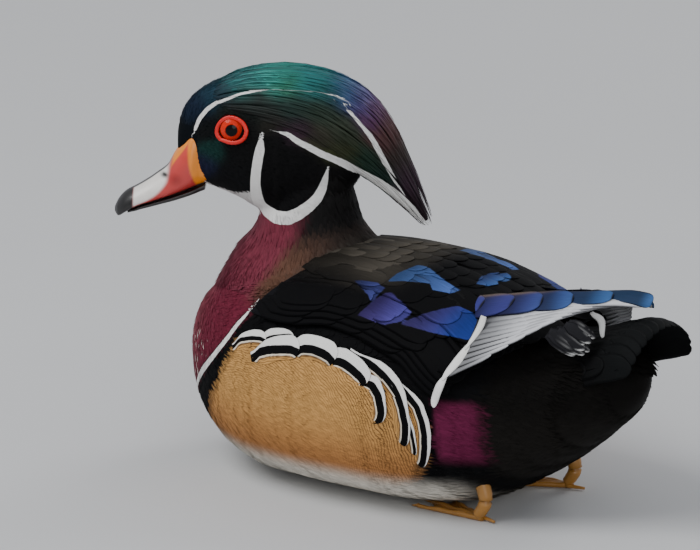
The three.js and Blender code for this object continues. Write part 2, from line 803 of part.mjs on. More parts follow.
function tailCovertVanes() {
  const vanes = [];
  const count = 3;
  for (let i = 0; i < count; i += 1) {
    const angle = lerp(-40, 40, i / (count - 1)) * DEG;
    vanes.push(feather(onTail, 'tailCovert', {
      from: [215, angle * 0.9],
      to: [lerp(239, 233, Math.abs(angle)), angle],
      rise: [-3, 1.3],
      tilt: -0.3 * Math.sign(angle),
    }));
  }
  return vanes;
}

const tailSolid = fused([solidOf(loft(sternRings())), ...tailVanes(), ...tailCovertVanes()])
  .subtract(torsoClear);

// Legs: a short shank folded back under the belly and a webbed foot flat on the floor.

function foot(side) {
  const outline = new THREE.Shape();
  outline.moveTo(0, -3);
  outline.lineTo(0, 3);
  outline.quadraticCurveTo(-16, 8, -34, 15);
  outline.quadraticCurveTo(-36, 6, -41, 1);
  outline.quadraticCurveTo(-37, -5, -36, -12);
  outline.quadraticCurveTo(-16, -6, 0, -3);
  const web = new THREE.ExtrudeGeometry(outline, {
    depth: FOOT_THICKNESS, bevelEnabled: false, curveSegments: 4,
  });
  web.deleteAttribute('normal');
  web.deleteAttribute('uv');
  web.rotateZ(-side * 14 * DEG);
  web.translate(180, -side * 33, 0);
  return solidOf(mergeVertices(web, 1e-4)).subtract(torsoClear);
}

function shank(side) {
  const rings = [];
  const path = new THREE.CatmullRomCurve3([
    new THREE.Vector3(178, -side * 33, FOOT_THICKNESS + GAP),
    new THREE.Vector3(182, -side * 33, 10),
    new THREE.Vector3(178, -side * 32, 20),
    new THREE.Vector3(170, -side * 31, 30)]);
  for (let k = 0; k <= 6; k += 1) {
    const t = k / 6;
    const centre = path.getPoint(t);
    const radius = lerp(3, 4.2, t);
    const ring = [];
    for (let i = 0; i < 12; i += 1) {
      const a = (i / 12) * 2 * Math.PI;
      ring.push(new THREE.Vector3(centre.x + radius * Math.cos(a),
        centre.y + radius * Math.sin(a), centre.z));
    }
    rings.push(ring);
  }
  return solidOf(loft(rings)).subtract(torsoClear);
}

// The finished group

const FINISH = {
  plumage: { color: 0x2b2a2c, roughness: 0.6 },
  tan: { color: 0xb98a4e, roughness: 0.8 },
  maroon: { color: 0x5a2630, roughness: 0.75 },
  green: { color: 0x1d4a3d, roughness: 0.4 },
  silver: { color: 0xb9bcc0, roughness: 0.6 },
  bill: { color: 0xc04a3c, roughness: 0.35 },
  dark: { color: 0x15120f, roughness: 0.4 },
  red: { color: 0xc8261a, roughness: 0.3 },
  leg: { color: 0xb8862e, roughness: 0.6 },
};

const duck = new THREE.Group();

function addNode(name, geometry, finish) {
  const material = new THREE.MeshStandardMaterial({ ...FINISH[finish], metalness: 0 });
  const mesh = new THREE.Mesh(geometry, material);
  mesh.name = name;
  duck.add(mesh);
}

addNode('torso', largestBody(torsoSolid), 'tan');
addNode('neck', largestBody(neckSolid), 'maroon');
addNode('head', largestBody(headSolid), 'green');
addNode('crest', largestBody(crestSolid), 'green');
addNode('bill_upper', largestBody(upperBill), 'bill');
addNode('bill_lower', largestBody(lowerBill), 'dark');
addNode('tail', largestBody(tailSolid), 'plumage');
[['left', 1], ['right', -1]].forEach(([name, side]) => {
  addNode(`eye_${name}`, largestBody(eyeBall(EYE_RADIUS, side)), 'red');
  addNode(`eyelid_${name}`, largestBody(lid(side).subtract(headClear)), 'red');
  addNode(`wing_${name}`, side > 0 ? wingLeft : mirrored(wingLeft), 'plumage');
  addNode(`primaries_${name}`, side > 0 ? primariesLeft : mirrored(primariesRight), 'silver');
  addNode(`leg_${name}`, largestBody(shank(side)), 'leg');
  addNode(`foot_${name}`, largestBody(foot(side)), 'leg');
});

// The origin stands under the middle of the whole bird, on the floor.
const reach = new THREE.Box3().setFromObject(duck);
duck.position.set(-(reach.min.x + reach.max.x) / 2, -(reach.min.y + reach.max.y) / 2, 0);

export default duck;
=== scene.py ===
import math
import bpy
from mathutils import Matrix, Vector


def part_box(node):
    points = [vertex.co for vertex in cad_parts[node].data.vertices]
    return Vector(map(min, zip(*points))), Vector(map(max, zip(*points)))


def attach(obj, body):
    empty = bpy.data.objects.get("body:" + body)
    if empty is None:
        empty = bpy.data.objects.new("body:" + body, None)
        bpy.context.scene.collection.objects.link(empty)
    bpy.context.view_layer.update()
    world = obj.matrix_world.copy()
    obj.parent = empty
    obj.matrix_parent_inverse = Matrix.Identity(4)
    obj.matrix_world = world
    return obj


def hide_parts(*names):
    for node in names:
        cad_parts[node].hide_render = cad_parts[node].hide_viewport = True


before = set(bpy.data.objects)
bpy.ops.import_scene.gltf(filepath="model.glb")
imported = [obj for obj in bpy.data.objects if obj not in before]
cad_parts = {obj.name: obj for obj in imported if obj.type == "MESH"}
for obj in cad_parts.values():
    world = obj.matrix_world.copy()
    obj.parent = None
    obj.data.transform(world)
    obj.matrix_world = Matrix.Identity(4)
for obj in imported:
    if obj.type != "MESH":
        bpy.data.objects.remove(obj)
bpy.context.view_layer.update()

from types import SimpleNamespace

import bpy
import numpy as np
from bpy.props import FloatProperty, FloatVectorProperty, IntProperty, PointerProperty
from mathutils import Vector

bl_info = {
    "name": "Drake wood duck",
    "version": (1, 0, 0),
    "blender": (4, 5, 0),
    "location": "View3D > Sidebar > Wood duck",
    "description": "Skin, plumage, bill, eyes and feet of a drake wood duck over its packed frame",
    "category": "Object",
}

# Lengths are in millimetres, but the stage and the camera's distance are in metres.
# A station is the distance behind the front of the breast.
MM = 0.001
FIRST_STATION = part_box("torso")[0].x / MM
DEG = math.pi / 180
SIDES = {"left": 1, "right": -1}
HEAD_TURN = 34 * DEG
NECK_STATION = 55
HEAD_FORWARD = np.array((-math.cos(HEAD_TURN), -math.sin(HEAD_TURN), 0))
HEAD_LEFT = np.array((math.sin(HEAD_TURN), -math.cos(HEAD_TURN), 0))
EYE_RADIUS = 7.2
CORNEA_SIDE = 18.3
IRIS_AT = (33.0, 157.0)
CAMERA_AZIMUTH = 38 * DEG
CAMERA_ELEVATION = 16 * DEG
CAMERA_DISTANCE = 9.0
SENSOR = 36
MM_PER_PIXEL = 0.45
PHOTO_SIZE = (700, 550)
PHOTO_ORIGIN = (438.8, 485.0)
PHOTO_ORIGIN_STATION = 130


# Curves and sections

def profile(*stations):
    """A smooth curve through (position, value) stations, with no overshoot between them."""
    x, y = (np.array(v, float) for v in zip(*stations))
    slope = np.diff(y) / np.diff(x)
    tangent = np.concatenate([slope[:1], np.zeros(len(x) - 2), slope[-1:]])
    a, b = slope[:-1], slope[1:]
    same = a * b > 0
    tangent[1:-1][same] = 2 * a[same] * b[same] / (a[same] + b[same])

    def at(value):
        v = np.clip(np.asarray(value, float), x[0], x[-1])
        i = np.clip(np.searchsorted(x, v) - 1, 0, len(slope) - 1)
        span = x[i + 1] - x[i]
        t = (v - x[i]) / span
        t2, t3 = t * t, t * t * t
        return ((2 * t3 - 3 * t2 + 1) * y[i] + (t3 - 2 * t2 + t) * span * tangent[i]
            + (3 * t2 - 2 * t3) * y[i + 1] + (t3 - t2) * span * tangent[i + 1])

    return at


def spline(points):
    """A curve through points; the parameter runs from 0 to 1."""
    p = np.array(points, float)
    last = len(p) - 1

    def at(t):
        scaled = np.clip(np.asarray(t, float), 0, 1) * last
        i = np.minimum(scaled.astype(int), last - 1)
        w = (scaled - i)[..., None]
        p0, p1 = p[np.maximum(i - 1, 0)], p[i]
        p2, p3 = p[i + 1], p[np.minimum(i + 2, last)]
        m1, m2 = (p2 - p0) / 2, (p3 - p1) / 2
        return ((2 * w**3 - 3 * w**2 + 1) * p1 + (w**3 - 2 * w**2 + w) * m1 + (3 * w**2 - 2 * w**3) * p2
            + (w**3 - w**2) * m2)

    return at


def smooth(value, low, high):
    t = np.clip((np.asarray(value, float) - low) / (high - low), 0, 1)
    return t * t * (3 - 2 * t)


def mix(a, b, t):
    return a + (b - a) * t


def unit(v):
    return v / np.maximum(np.linalg.norm(v, axis=-1, keepdims=True), 1e-9)


def stacked(*parts):
    """Places, or other rows of values, from their parts spread to one shape."""
    return np.stack(np.broadcast_arrays(*parts), -1)


def profiles(*rows):
    """Profiles that share their positions, one for each further value in the rows."""
    return [profile(*((row[0], row[i]) for row in rows)) for i in range(1, len(rows[0]))]


def section_point(angle, half, top, bottom, wide, full_top, full_bottom, grow=0):
    """Side and height of a rounded section's point; the angle goes round from the top."""
    s, c = np.sin(angle), np.cos(angle)
    full = np.where(c >= 0, full_top, full_bottom)
    reach = np.where(c >= 0, top + grow - wide, wide - (bottom - grow))
    side = (half + grow) * np.sign(s) * np.abs(s) ** (2 / full)
    return side, wide + np.sign(c) * reach * np.abs(c) ** (2 / full)


# Body

body_half, body_top = profiles((0, 3, 54), (4, 18, 68), (12, 30, 80), (25, 43, 90), (45, 56.5, 98),
    (70, 66, 102), (100, 70, 104), (130, 69.5, 103.5), (160, 64, 98.5), (185, 54, 91.5),
    (205, 43, 87.5), (214, 38, 86))
body_bottom = profile((0, 48), (4, 34), (12, 21), (25, 9.5), (45, 1), (62, -2), (130, -2), (158, 0),
    (185, 11), (205, 24), (214, 31))
body_wide = profile((0, 50), (25, 48), (70, 46), (130, 47), (160, 50), (185, 55), (214, 60))
stern_half, stern_top, stern_bottom = profiles((214, 38, 86, 31), (222, 31, 86, 37),
    (232, 22.5, 85, 45), (240, 15, 82, 53), (247, 5, 76, 64))
STERN_WIDEST = 0.55
# How full each section is above and below its widest place; 2 is an ellipse
BODY_FULL = (2.2, 2.4)
STERN_FULL = (2.2, 2.2)


def body_point(station, angle, grow=0):
    side, height = section_point(angle, body_half(station), body_top(station), body_bottom(station),
        body_wide(station), *BODY_FULL, grow)
    return stacked(station, -side, height)


def body_normal(station, angle):
    along = body_point(station + 0.5, angle) - body_point(station - 0.5, angle)
    round_ = body_point(station, angle + 0.01) - body_point(station, angle - 0.01)
    return unit(np.cross(round_, along))


def on_body(station, angle, lift):
    return body_point(station, angle) + body_normal(station, angle) * np.asarray(lift)[..., None]


def stern_point(station, angle, grow=0):
    low, high = stern_bottom(station), stern_top(station)
    side, height = section_point(angle, stern_half(station), high, low, mix(low, high, STERN_WIDEST),
        *STERN_FULL, grow)
    return stacked(station, -side, height)


# Neck and head

neck_centre = profile((76, 60), (100, 59), (114, 56.3), (128, 54.6), (146, 53.5))
neck_deep, neck_half = profiles((76, 51, 44), (84, 46, 40), (92, 41.5, 35), (100, 36, 29),
    (107, 29, 25.3), (114, 24.6, 23.4), (121, 23.4, 22.6), (128, 23, 21.6), (146, 18, 17))
head_half, head_top = profiles((-26, 3, 146), (-23, 12, 157), (-18, 17, 163.5), (-8, 20.5, 170.5),
    (6, 22, 175.5), (20, 21, 178.5), (33, 17.6, 179.5), (40, 15, 177.5), (45, 12.2, 175),
    (50, 9.2, 171.5), (55, 7, 165.5), (58.6, 4.2, 155), (59.8, 1.5, 148))
head_bottom = profile((-26, 141), (-23, 131), (-18, 125), (-8, 117.5), (6, 113.5), (16, 113.5),
    (24, 117), (31, 121), (40, 124.5), (50, 128.5), (55, 133), (58.6, 139), (59.8, 144))
HEAD_WIDEST = 0.45
HEAD_FULL = (2.1, 2.3)


def head_point(forward, left, height):
    return (stacked(float(NECK_STATION), 0, height) + forward[..., None] * HEAD_FORWARD
        + left[..., None] * HEAD_LEFT)


def head_frame(points):
    """Forward, left and height of points in the turned head's own frame."""
    from_neck = points - np.array((NECK_STATION, 0, 0))
    return from_neck @ HEAD_FORWARD, from_neck @ HEAD_LEFT, points[..., 2]


def head_surface(forward, angle, grow=0):
    low, high = head_bottom(forward), head_top(forward)
    side, height = section_point(angle, head_half(forward), high, low, mix(low, high, HEAD_WIDEST),
        *HEAD_FULL, grow)
    return head_point(forward, side, height)


def head_side(forward, height):
    """How far the head's side stands out at a place on it."""
    low, high = head_bottom(forward), head_top(forward)
    wide = mix(low, high, HEAD_WIDEST)
    above = height >= wide
    full = np.where(above, *HEAD_FULL)
    share = np.clip(np.abs(height - wide) / np.where(above, high - wide, wide - low), 0, 1)
    return head_half(forward) * (1 - share**full) ** (1 / full)


def neck_point(height, angle, grow=0):
    return stacked(neck_centre(height) + (neck_deep(height) + grow) * np.cos(angle),
        (neck_half(height) + grow) * np.sin(angle), height)


# Crest

crest_spine = spline([(46, 166), (30, 169), (12, 169), (-4, 165), (-17, 157), (-28, 146.5),
    (-38, 134.5), (-47, 121.5), (-55, 110)])
crest_up, crest_down = profiles((0, 3, 3), (0.12, 10, 8), (0.3, 14, 12.5), (0.5, 16.5, 14),
    (0.62, 14, 12), (0.75, 9.5, 8), (0.88, 5.5, 4), (1, 1.2, 1.2))
crest_half = profile((0, 4), (0.12, 14.5), (0.3, 20.5), (0.45, 21), (0.6, 17), (0.75, 10.5), (0.88, 6),
    (1, 1.5))
CREST_LEAST = 0.4
CREST_FULL = (2.1, 2.8)


def crest_point(t, angle, lift):
    at = crest_spine(t)
    run = unit(crest_spine(np.clip(t + 0.01, 0, 1)) - crest_spine(np.clip(t - 0.01, 0, 1)))
    half, up, down = (np.maximum(CREST_LEAST, reach(t) + lift)
        for reach in (crest_half, crest_up, crest_down))
    side, height = section_point(angle, half, up, -down, 0, *CREST_FULL)
    return head_point(at[..., 0] + run[..., 1] * height, side, at[..., 1] - run[..., 0] * height)


# Wings and tail

wing_rear = profile((0, 212), (0.35, 202), (0.65, 188), (1, 173))
WING_LOW = ((58, 80), (85, 80), (110, 84), (125, 83), (140, 80), (155, 75), (165, 68), (176, 58))
wing_low = profile(*WING_LOW)
primary_upper = spline([(164, -13, 98.5), (200, -16, 107), (223, -9, 109.4), (245, -5, 111.3),
    (256, -4.6, 109.6)])
primary_lower = spline([(180, -59, 73), (200, -50, 85), (214, -37, 95), (232, -18, 102.8),
    (253, -7, 106)])
right_drop = profile((164, 2), (185, 7), (205, 8), (225, 6.5), (256, 5.5))
RIGHT_SHORTER = 9.5
RIGHT_SHORTENED = (200, 256)
tail_ridge = profile((200, 85), (221, 88.5), (238, 95), (249, 98.2), (254, 98), (258, 96))
tail_arch = profile((200, 22), (225, 23.5), (250, 23.5), (258, 23))


def low_angle():
    """The angle round the body at the folded wing's lower edge, station by station."""
    angles = np.linspace(0, 90, 361) * DEG
    stations = np.array([s for s, _ in WING_LOW], float)
    heights = body_point(stations[:, None], angles[None, :])[..., 2]
    found = [angles[np.argmin(np.abs(row - low))] for row, low in zip(heights, wing_low(stations))]
    return profile(*zip(stations, found))


wing_low_angle = low_angle()
WING_EDGE_DROP = 1.5
WING_FRONT = (88, 60)
WING_TOP_ANGLE = 5 * DEG
FAN_ROOT_UPPER = (90, 24, 60)
FAN_ROOT_LOWER = (80, -40, 12)
FAN_BULGE = 1.5


def on_wing(t, q, lift):
    lift = lift - WING_EDGE_DROP * smooth(q, 0.72, 1.0)
    station = mix(mix(*WING_FRONT, q), wing_rear(q), t)
    angle = mix(WING_TOP_ANGLE, wing_low_angle(station), q)
    return on_body(station, angle, lift)


def on_primaries(t, q, lift):
    """The fan of flight feathers; for t below 0 it runs on down into the wing."""
    before = np.minimum(t, 0)[..., None]
    upper = primary_upper(t) + before * FAN_ROOT_UPPER
    lower = primary_lower(t) + before * FAN_ROOT_LOWER
    t = np.maximum(t, 0)
    run = primary_upper(np.clip(t + 0.01, 0, 1)) - primary_upper(np.clip(t - 0.01, 0, 1))
    out = unit(np.cross(lower - upper, run))
    bulge = FAN_BULGE * np.sin(np.clip(q, 0, 1) * math.pi) * (1 - 0.6 * t)
    return upper + (lower - upper) * np.asarray(q)[..., None] + out * (bulge + lift)[..., None]


def on_far_primaries(t, q, lift):
    """The right wing's fan, which lies under the left one and ends before it."""
    at = on_primaries(t, q, lift)
    x = at[..., 0]
    first, last = RIGHT_SHORTENED
    down = stacked(RIGHT_SHORTER * np.clip((x - first) / (last - first), 0, 1), 0, right_drop(x))
    return (at - down) * (1, -1, 1)


def on_tail(station, angle, lift):
    radius = tail_arch(station) + lift
    centre = tail_ridge(station) - tail_arch(station)
    return stacked(station, -radius * np.sin(angle), centre + radius * np.cos(angle))


# Meshes

def to_row(points):
    """From millimetres behind the breast to the frame's metres."""
    return (points + (FIRST_STATION, 0, 0)) * MM


def new_mesh(name, points, faces):
    """A mesh from points in metres and faces of one size."""
    mesh = bpy.data.meshes.new(name)
    faces = np.asarray(faces, np.int32)
    corners = faces.shape[1]
    mesh.vertices.add(len(points))
    mesh.vertices.foreach_set("co", np.asarray(points, np.float32).ravel())
    mesh.loops.add(faces.size)
    mesh.loops.foreach_set("vertex_index", faces.ravel())
    mesh.polygons.add(len(faces))
    mesh.polygons.foreach_set("loop_start", np.arange(0, faces.size, corners, dtype=np.int32))
    mesh.update(calc_edges=True)
    mesh.validate()
    mesh.shade_smooth()
    return mesh


def new_object(name, data):
    piece = bpy.data.objects.new(name, data)
    bpy.context.collection.objects.link(piece)
    return piece


def make_piece(name, points, faces, material):
    mesh = new_mesh(name, to_row(points), faces)
    mesh.materials.append(material)
    return new_object(name, mesh)


def read(items, key, kind=float):
    """Three values of each item of a mesh."""
    flat = np.empty(len(items) * 3, np.float32 if kind is float else np.int32)
    items.foreach_get(key, flat)
    return flat.reshape(-1, 3).astype(kind)


def places_of(mesh):
    """A mesh's points in millimetres behind the breast."""
    return read(mesh.vertices, "co") / MM - (FIRST_STATION, 0, 0)


def keep_above(mesh, height):
    """Lifts the points of a mesh that lie lower than this above the floor."""
    points = read(mesh.vertices, "co")
    points[:, 2] = np.maximum(points[:, 2], height * MM)
    mesh.vertices.foreach_set("co", points.astype(np.float32).ravel())


ATTRIBUTES = {"FLOAT_VECTOR": ("vector", 3), "FLOAT_COLOR": ("color", 4), "FLOAT": ("value", 1)}


def set_attribute(mesh, name, values, kind="FLOAT_VECTOR"):
    """Sets each point's value, or one value for all of them."""
    layer = mesh.attributes.get(name) or mesh.attributes.new(name, kind, "POINT")
    key, width = ATTRIBUTES[kind]
    rows = np.broadcast_to(np.reshape(values, (-1, width)), (len(mesh.vertices), width))
    layer.data.foreach_set(key, rows.astype(np.float32).ravel())


def set_tint(mesh, colours):
    colours = np.clip(np.reshape(colours, (-1, 3)), 0, 1)
    set_attribute(mesh, "Tint", np.insert(colours, 3, 1, axis=1), "FLOAT_COLOR")


def set_bake_map(mesh, uv):
    """The OFBake map from one place for each vertex."""
    loops = np.empty(len(mesh.loops), np.int32)
    mesh.loops.foreach_get("vertex_index", loops)
    layer = mesh.uv_layers.get("OFBake") or mesh.uv_layers.new(name="OFBake")
    layer.data.foreach_set("uv", np.asarray(uv, np.float32)[loops].ravel())


def loft(rings):
    """Points and triangles of closed rings of equal count, capped at both ends."""
    rows, count = rings.shape[:2]
    points = rings.reshape(-1, 3)
    r, i = np.meshgrid(np.arange(rows - 1), np.arange(count), indexing="ij")
    a, b = r * count + i, r * count + (i + 1) % count
    faces = [np.stack([a, b, b + count], -1).reshape(-1, 3),
        np.stack([a, b + count, a + count], -1).reshape(-1, 3)]
    ends = np.array([rings[0].mean(0), rings[-1].mean(0)])
    i = np.arange(count)
    hub = len(points)
    faces.append(np.stack([hub + 0 * i, (i + 1) % count, i], -1))
    last = (rows - 1) * count
    faces.append(np.stack([hub + 1 + 0 * i, last + i, last + (i + 1) % count], -1))
    return np.concatenate([points, ends]), np.concatenate(faces)


def joined(shells):
    points, faces, base = [], [], 0
    for p, f in shells:
        points.append(p)
        faces.append(f + base)
        base += len(p)
    return np.concatenate(points), np.concatenate(faces)


def outward(points, faces):
    """Triangles turned so that the shell's volume is positive."""
    if faces.shape[1] == 4:
        faces = np.concatenate([faces[:, :3], faces[:, [0, 2, 3]]])
    corner = points[faces]
    volume = np.einsum("ij,ij->i", corner[:, 0], np.cross(corner[:, 1], corner[:, 2])).sum()
    return points, faces if volume > 0 else faces[:, ::-1]


def round_steps(count):
    return np.arange(count) / count * 2 * math.pi


def rings_of(surface, stations, count, *grow):
    return surface(*np.meshgrid(stations, round_steps(count), indexing="ij"), *grow)


def shell(name, surface, stations, count, material):
    return make_piece(name, *outward(*loft(rings_of(surface, stations, count))), material)


def eased(low, high, steps):
    return mix(low, high, (1 - np.cos(np.linspace(0, math.pi, steps))) / 2)


def applied(piece):
    """Turns a piece's modifiers into plain mesh."""
    graph = bpy.context.evaluated_depsgraph_get()
    graph.update()
    mesh = bpy.data.meshes.new_from_object(piece.evaluated_get(graph), preserve_all_data_layers=True,
        depsgraph=graph)
    piece.modifiers.clear()
    old, piece.data = piece.data, mesh
    bpy.data.meshes.remove(old)
    return piece


def linear(colour):
    """Display values from 0 to 255 as linear light."""
    c = np.asarray(colour, float) / 255
    return np.where(c <= 0.04045, c / 12.92, ((c + 0.055) / 1.055) ** 2.4)


def over(colours, colour, share):
    """One display colour laid over the points' colours by a share for each point."""
    return mix(colours, linear(colour), np.asarray(share)[..., None])


# Markings: lines of places, each with half a width of white, then edges and colour areas

HEAD_LINES = {
    "brow": (
        (50.1, 154.5, 0.66), (48.3, 159.3, 0.85), (44.6, 164.3, 0.85), (40.1, 167.9, 0.75),
        (34.6, 170.6, 0.6), (30, 173.1, 0.5), (25, 174.9, 0.3), (19.5, 175.7, 0.12),
        (15, 176.4, 0.05), (0, 176.3, 0.04), (-10, 174.8, 0.08), (-14, 173.6, 0.16),
        (-18, 171.9, 0.14), (-20.5, 170, 0.03)),
    "crest_streak": (
        (-18.8, 168.2, 0.2), (-22.9, 164.1, 0.55), (-27.5, 158.3, 0.85), (-30.1, 154.6, 1.1),
        (-33.2, 148.3, 1.2), (-36.2, 141.6, 1.1), (-39.7, 134.2, 0.9), (-42.7, 128.2, 0.6),
        (-44.5, 125, 0.2)),
    "crest_edge": (
        (11.5, 157, 0.32), (7.4, 156.1, 0.96), (3.3, 153.1, 1.28), (-1.2, 150.9, 1.36),
        (-5.3, 148.5, 1.44), (-10.2, 146.1, 1.44), (-14.6, 143.9, 1.52), (-19.8, 140.8, 1.7),
        (-25, 137, 1.9), (-30, 134.2, 2.1), (-35, 130.4, 2.3), (-40, 126.4, 2.3),
        (-46.5, 119.5, 2.1), (-50.5, 114.9, 1.7), (-55.5, 109.5, 0.8)),
    "cheek_bar": (
        (19.6, 152.6, 1.2), (20, 149, 2.1), (20.9, 144.4, 2.2), (21.8, 138.6, 2.2),
        (22.3, 132.6, 2.3), (22, 127, 2.7), (20.9, 121.3, 3), (17.7, 118.3, 3.1),
        (12.9, 116.9, 3.0), (7.2, 117.4, 2.9), (2.2, 120.1, 2.7), (-2.3, 123.4, 2.5),
        (-5.8, 126.8, 2.3), (-7.9, 130.7, 2), (-9.3, 135.3, 1.4), (-10.3, 139.5, 0.5)),
}
BODY_LINES = {
    "breast_bar": (
        (60.5, 79.5, 0.8), (56, 73.6, 1.1), (53.2, 68.8, 1.2), (49.1, 63.8, 1.2), (44.5, 58.6, 1.3),
        (38.3, 52.7, 1.4), (31.3, 46.7, 1.5), (19.5, 35, 1.2), (14, 28, 0.3)),
}
# How far black shows beyond the white of a line
BLACK_EDGES = {"breast_bar": 0.4}
BREAST_EDGE = ((28, 14), (35, 19.5), (46.7, 31.3), (52.7, 38.3), (58.6, 44.5), (63.8, 49.1),
    (68.8, 53.2), (73.6, 56), (79.5, 60.5))
FLANK_FRONT = ((20, 31), (32.6, 37.5), (42.8, 45.2), (53, 51.5), (65.2, 59.2), (72.5, 62.1))
FLANK_REAR = ((0, 122), (12, 144), (22, 160), (32, 166), (45, 168), (60, 166))
FLANK_TOP = ((60, 70), (74, 68.6), (85.3, 69.6), (95, 71.8), (106.7, 74), (121.7, 70.9), (136.3, 66),
    (147.4, 62), (155, 59), (163, 54.5), (168, 49), (172, 40), (174, 18))
CRESCENT = ((-10.2, 139.1), (-7.9, 130.7), (-5.8, 126.8), (-2.3, 123.4), (2.2, 120.1), (7.2, 117.4),
    (12.9, 116.9), (17.7, 118.3), (20.9, 121.3))
CHIN = ((20, 128.5), (25, 127), (31, 125.2), (40, 126.5), (46, 129.5), (50, 131.5))
MAROON_EDGE = ((78, 58), (84.5, 58), (93.6, 60), (104.5, 66), (115, 67.5))
NECK_MIDDLE = 60
NECK_REACH = 52
NECK_GLOSS = 0.25
COAT_SHADES = (0.88, 1.12)
VANE_SHADES = (0.9, 1.1)

# Colour areas: forward, height, reach, colour and gloss. They are partly the head's own green, purple
# and black, and partly painted sheen where the gloss catches the light: teal brightening towards the
# top of the crown, and a blue-green patch on the cheek.
HEAD_TONES = (
    (58, 150, 7, (12, 16, 20), 0.3), (50, 166, 6, (22, 34, 52), 0.6),
    (42, 172, 6, (26, 52, 66), 0.8), (30, 180, 7, (28, 92, 92), 1),
    (26, 175, 4, (22, 58, 48), 0.8), (10, 183, 7, (38, 128, 118), 1),
    (8, 178, 4, (38, 96, 66), 1), (-6, 182, 7, (40, 122, 122), 1),
    (-10, 176, 4, (26, 80, 76), 0.9), (-18, 177, 6, (48, 84, 120), 1),
    (-25, 171, 5, (66, 62, 112), 1), (-30, 164, 5, (84, 48, 86), 0.9),
    (-37, 154, 6, (82, 50, 50), 0.7), (-42, 144, 6, (48, 38, 34), 0.5),
    (-47, 133, 6, (56, 36, 50), 0.7), (-53, 119, 7, (44, 26, 36), 0.6),
    (33, 166, 6, (18, 22, 18), 0.3), (20, 168, 6, (22, 32, 28), 0.5),
    (6, 170, 6, (24, 46, 40), 0.7), (-8, 168, 6, (32, 48, 36), 0.7),
    (14, 162, 5, (34, 32, 28), 0.4), (2, 158, 5, (56, 38, 50), 0.7),
    (-8, 156, 5, (52, 50, 38), 0.6), (-18, 158, 6, (48, 56, 42), 0.7),
    (-18, 148, 5, (58, 62, 38), 0.7), (-28, 144, 5, (36, 60, 48), 0.8),
    (-36, 134, 5, (26, 48, 42), 0.8), (24, 160, 4, (10, 11, 11), 0.2),
    (41, 144, 4.5, (22, 52, 48), 0.75), (43, 139, 4, (26, 30, 54), 0.65),
    (34, 137, 6, (12, 13, 15), 0.3), (45, 157, 5, (10, 12, 13), 0.2),
    (28, 145, 6, (9, 9, 10), 0.2), (8, 140, 9, (6, 6, 7), 0.05),
    (-14, 132, 8, (9, 8, 9), 0.1), (12, 150, 6, (6, 6, 7), 0.05),
)
BODY_TONES = {
    "breast": (104, 34, 52), "breast_pale_and_highlight": (152, 74, 86), "fleck": (232, 222, 214),
    "tan": (196, 148, 88), "tan_low": (168, 110, 66), "belly": (226, 220, 208),
    "velvet": (10, 10, 12), "burgundy": (98, 30, 62),
    "hind_neck": (15, 13, 13), "rufous": (96, 64, 48), "olive": (64, 60, 54),
    "mantle": (58, 54, 48), "rump": (18, 20, 20), "stern": (26, 24, 22),
    "chin": (214, 212, 210),
}


def tone(points2d, tones):
    """Colour and gloss blended from the nearest named areas."""
    p = points2d[:, None, :]
    at = np.array([[f, h] for f, h, *_ in tones])
    reach = np.array([r for _, _, r, *_ in tones])
    weight = np.exp(-((p - at) ** 2).sum(-1) / (2 * (0.62 * reach) ** 2)) + 1e-9
    weight /= weight.sum(1, keepdims=True)
    colours = linear([c for *_, c, _ in tones])
    gloss = np.array([g for *_, g in tones])
    return weight @ colours, weight @ gloss


def offset_from(points2d, line):
    """Signed distance from a line of places, and its half width beside each point."""
    places = np.array(line)
    best = np.full(len(points2d), 1e9)
    side = np.ones(len(points2d))
    half = np.zeros(len(points2d))
    for a, b in zip(places[:-1], places[1:]):
        run = b[:2] - a[:2]
        t = np.clip(((points2d - a[:2]) @ run) / (run @ run), 0, 1)
        away = points2d - a[:2] - t[:, None] * run
        far = np.hypot(away[:, 0], away[:, 1])
        nearer = far < best
        best = np.where(nearer, far, best)
        side = np.where(nearer, np.sign(run[0] * away[:, 1] - run[1] * away[:, 0]), side)
        half = np.where(nearer, mix(a[2], b[2], t), half)
    return best * np.where(side == 0, 1, side), half


def marks(points2d, lines, owner, near):
    """Offset, white and dark half widths; all of one feather reads one line, if it is near."""
    offsets, whites, darks = [], [], []
    for name, places in lines.items():
        offset, half = offset_from(points2d, places)
        offsets.append(offset)
        whites.append(half)
        darks.append(half + BLACK_EDGES[name] if name in BLACK_EDGES else half * 0)
    offsets, whites, darks = (np.array(v) for v in (offsets, whites, darks))
    room = (np.abs(offsets) - np.maximum(whites, darks))[:, owner]
    pick = (room.argmin(0), np.arange(len(points2d)))
    mark = stacked(offsets[pick], whites[pick], darks[pick])
    mark[room.min(0) > near, 1:] = 0
    return mark


def between(value, table):
    x, y = zip(*table)
    return np.interp(value, x, y)


def on_head(points):
    """True where the coat belongs to the head: above the white crescent and the throat."""
    forward, _, height = head_frame(points)
    low = np.where(forward > 21, 113, between(forward, CRESCENT))
    low = np.where(forward < -10.2, mix(128, 139.1, smooth(forward, -24, -10.2)), low)
    return (height > low) & (height > 111)


def head_colours(points):
    forward, _, height = head_frame(points)
    flat = stacked(forward, height)
    colour, gloss = tone(flat, HEAD_TONES)
    chin = (forward > 19) & (height < between(forward, CHIN))
    return over(colour, BODY_TONES["chin"], chin), np.where(chin, 0, gloss), flat


def neck_colours(points):
    tones = BODY_TONES
    x, _, z = points.T
    behind = x - between(z, MAROON_EDGE)
    front = over(linear(tones["breast"]), tones["breast_pale_and_highlight"], 0.15)
    low = smooth(z, 112, 94) * 0.85
    hind = over(linear(tones["hind_neck"]), tones["rufous"], low)
    olive = over(linear(tones["hind_neck"]), tones["olive"], low)
    rear = mix(hind, olive, smooth(behind, 8, 26)[:, None])
    return mix(front, rear, smooth(behind, -5, 5)[:, None])


def flank_wave(points):
    """Rounded arcs that run along the top and rear of the flank."""
    x, _, z = points.T
    return np.hypot((x - 70) / 1.25, (z - 28) * 1.12)


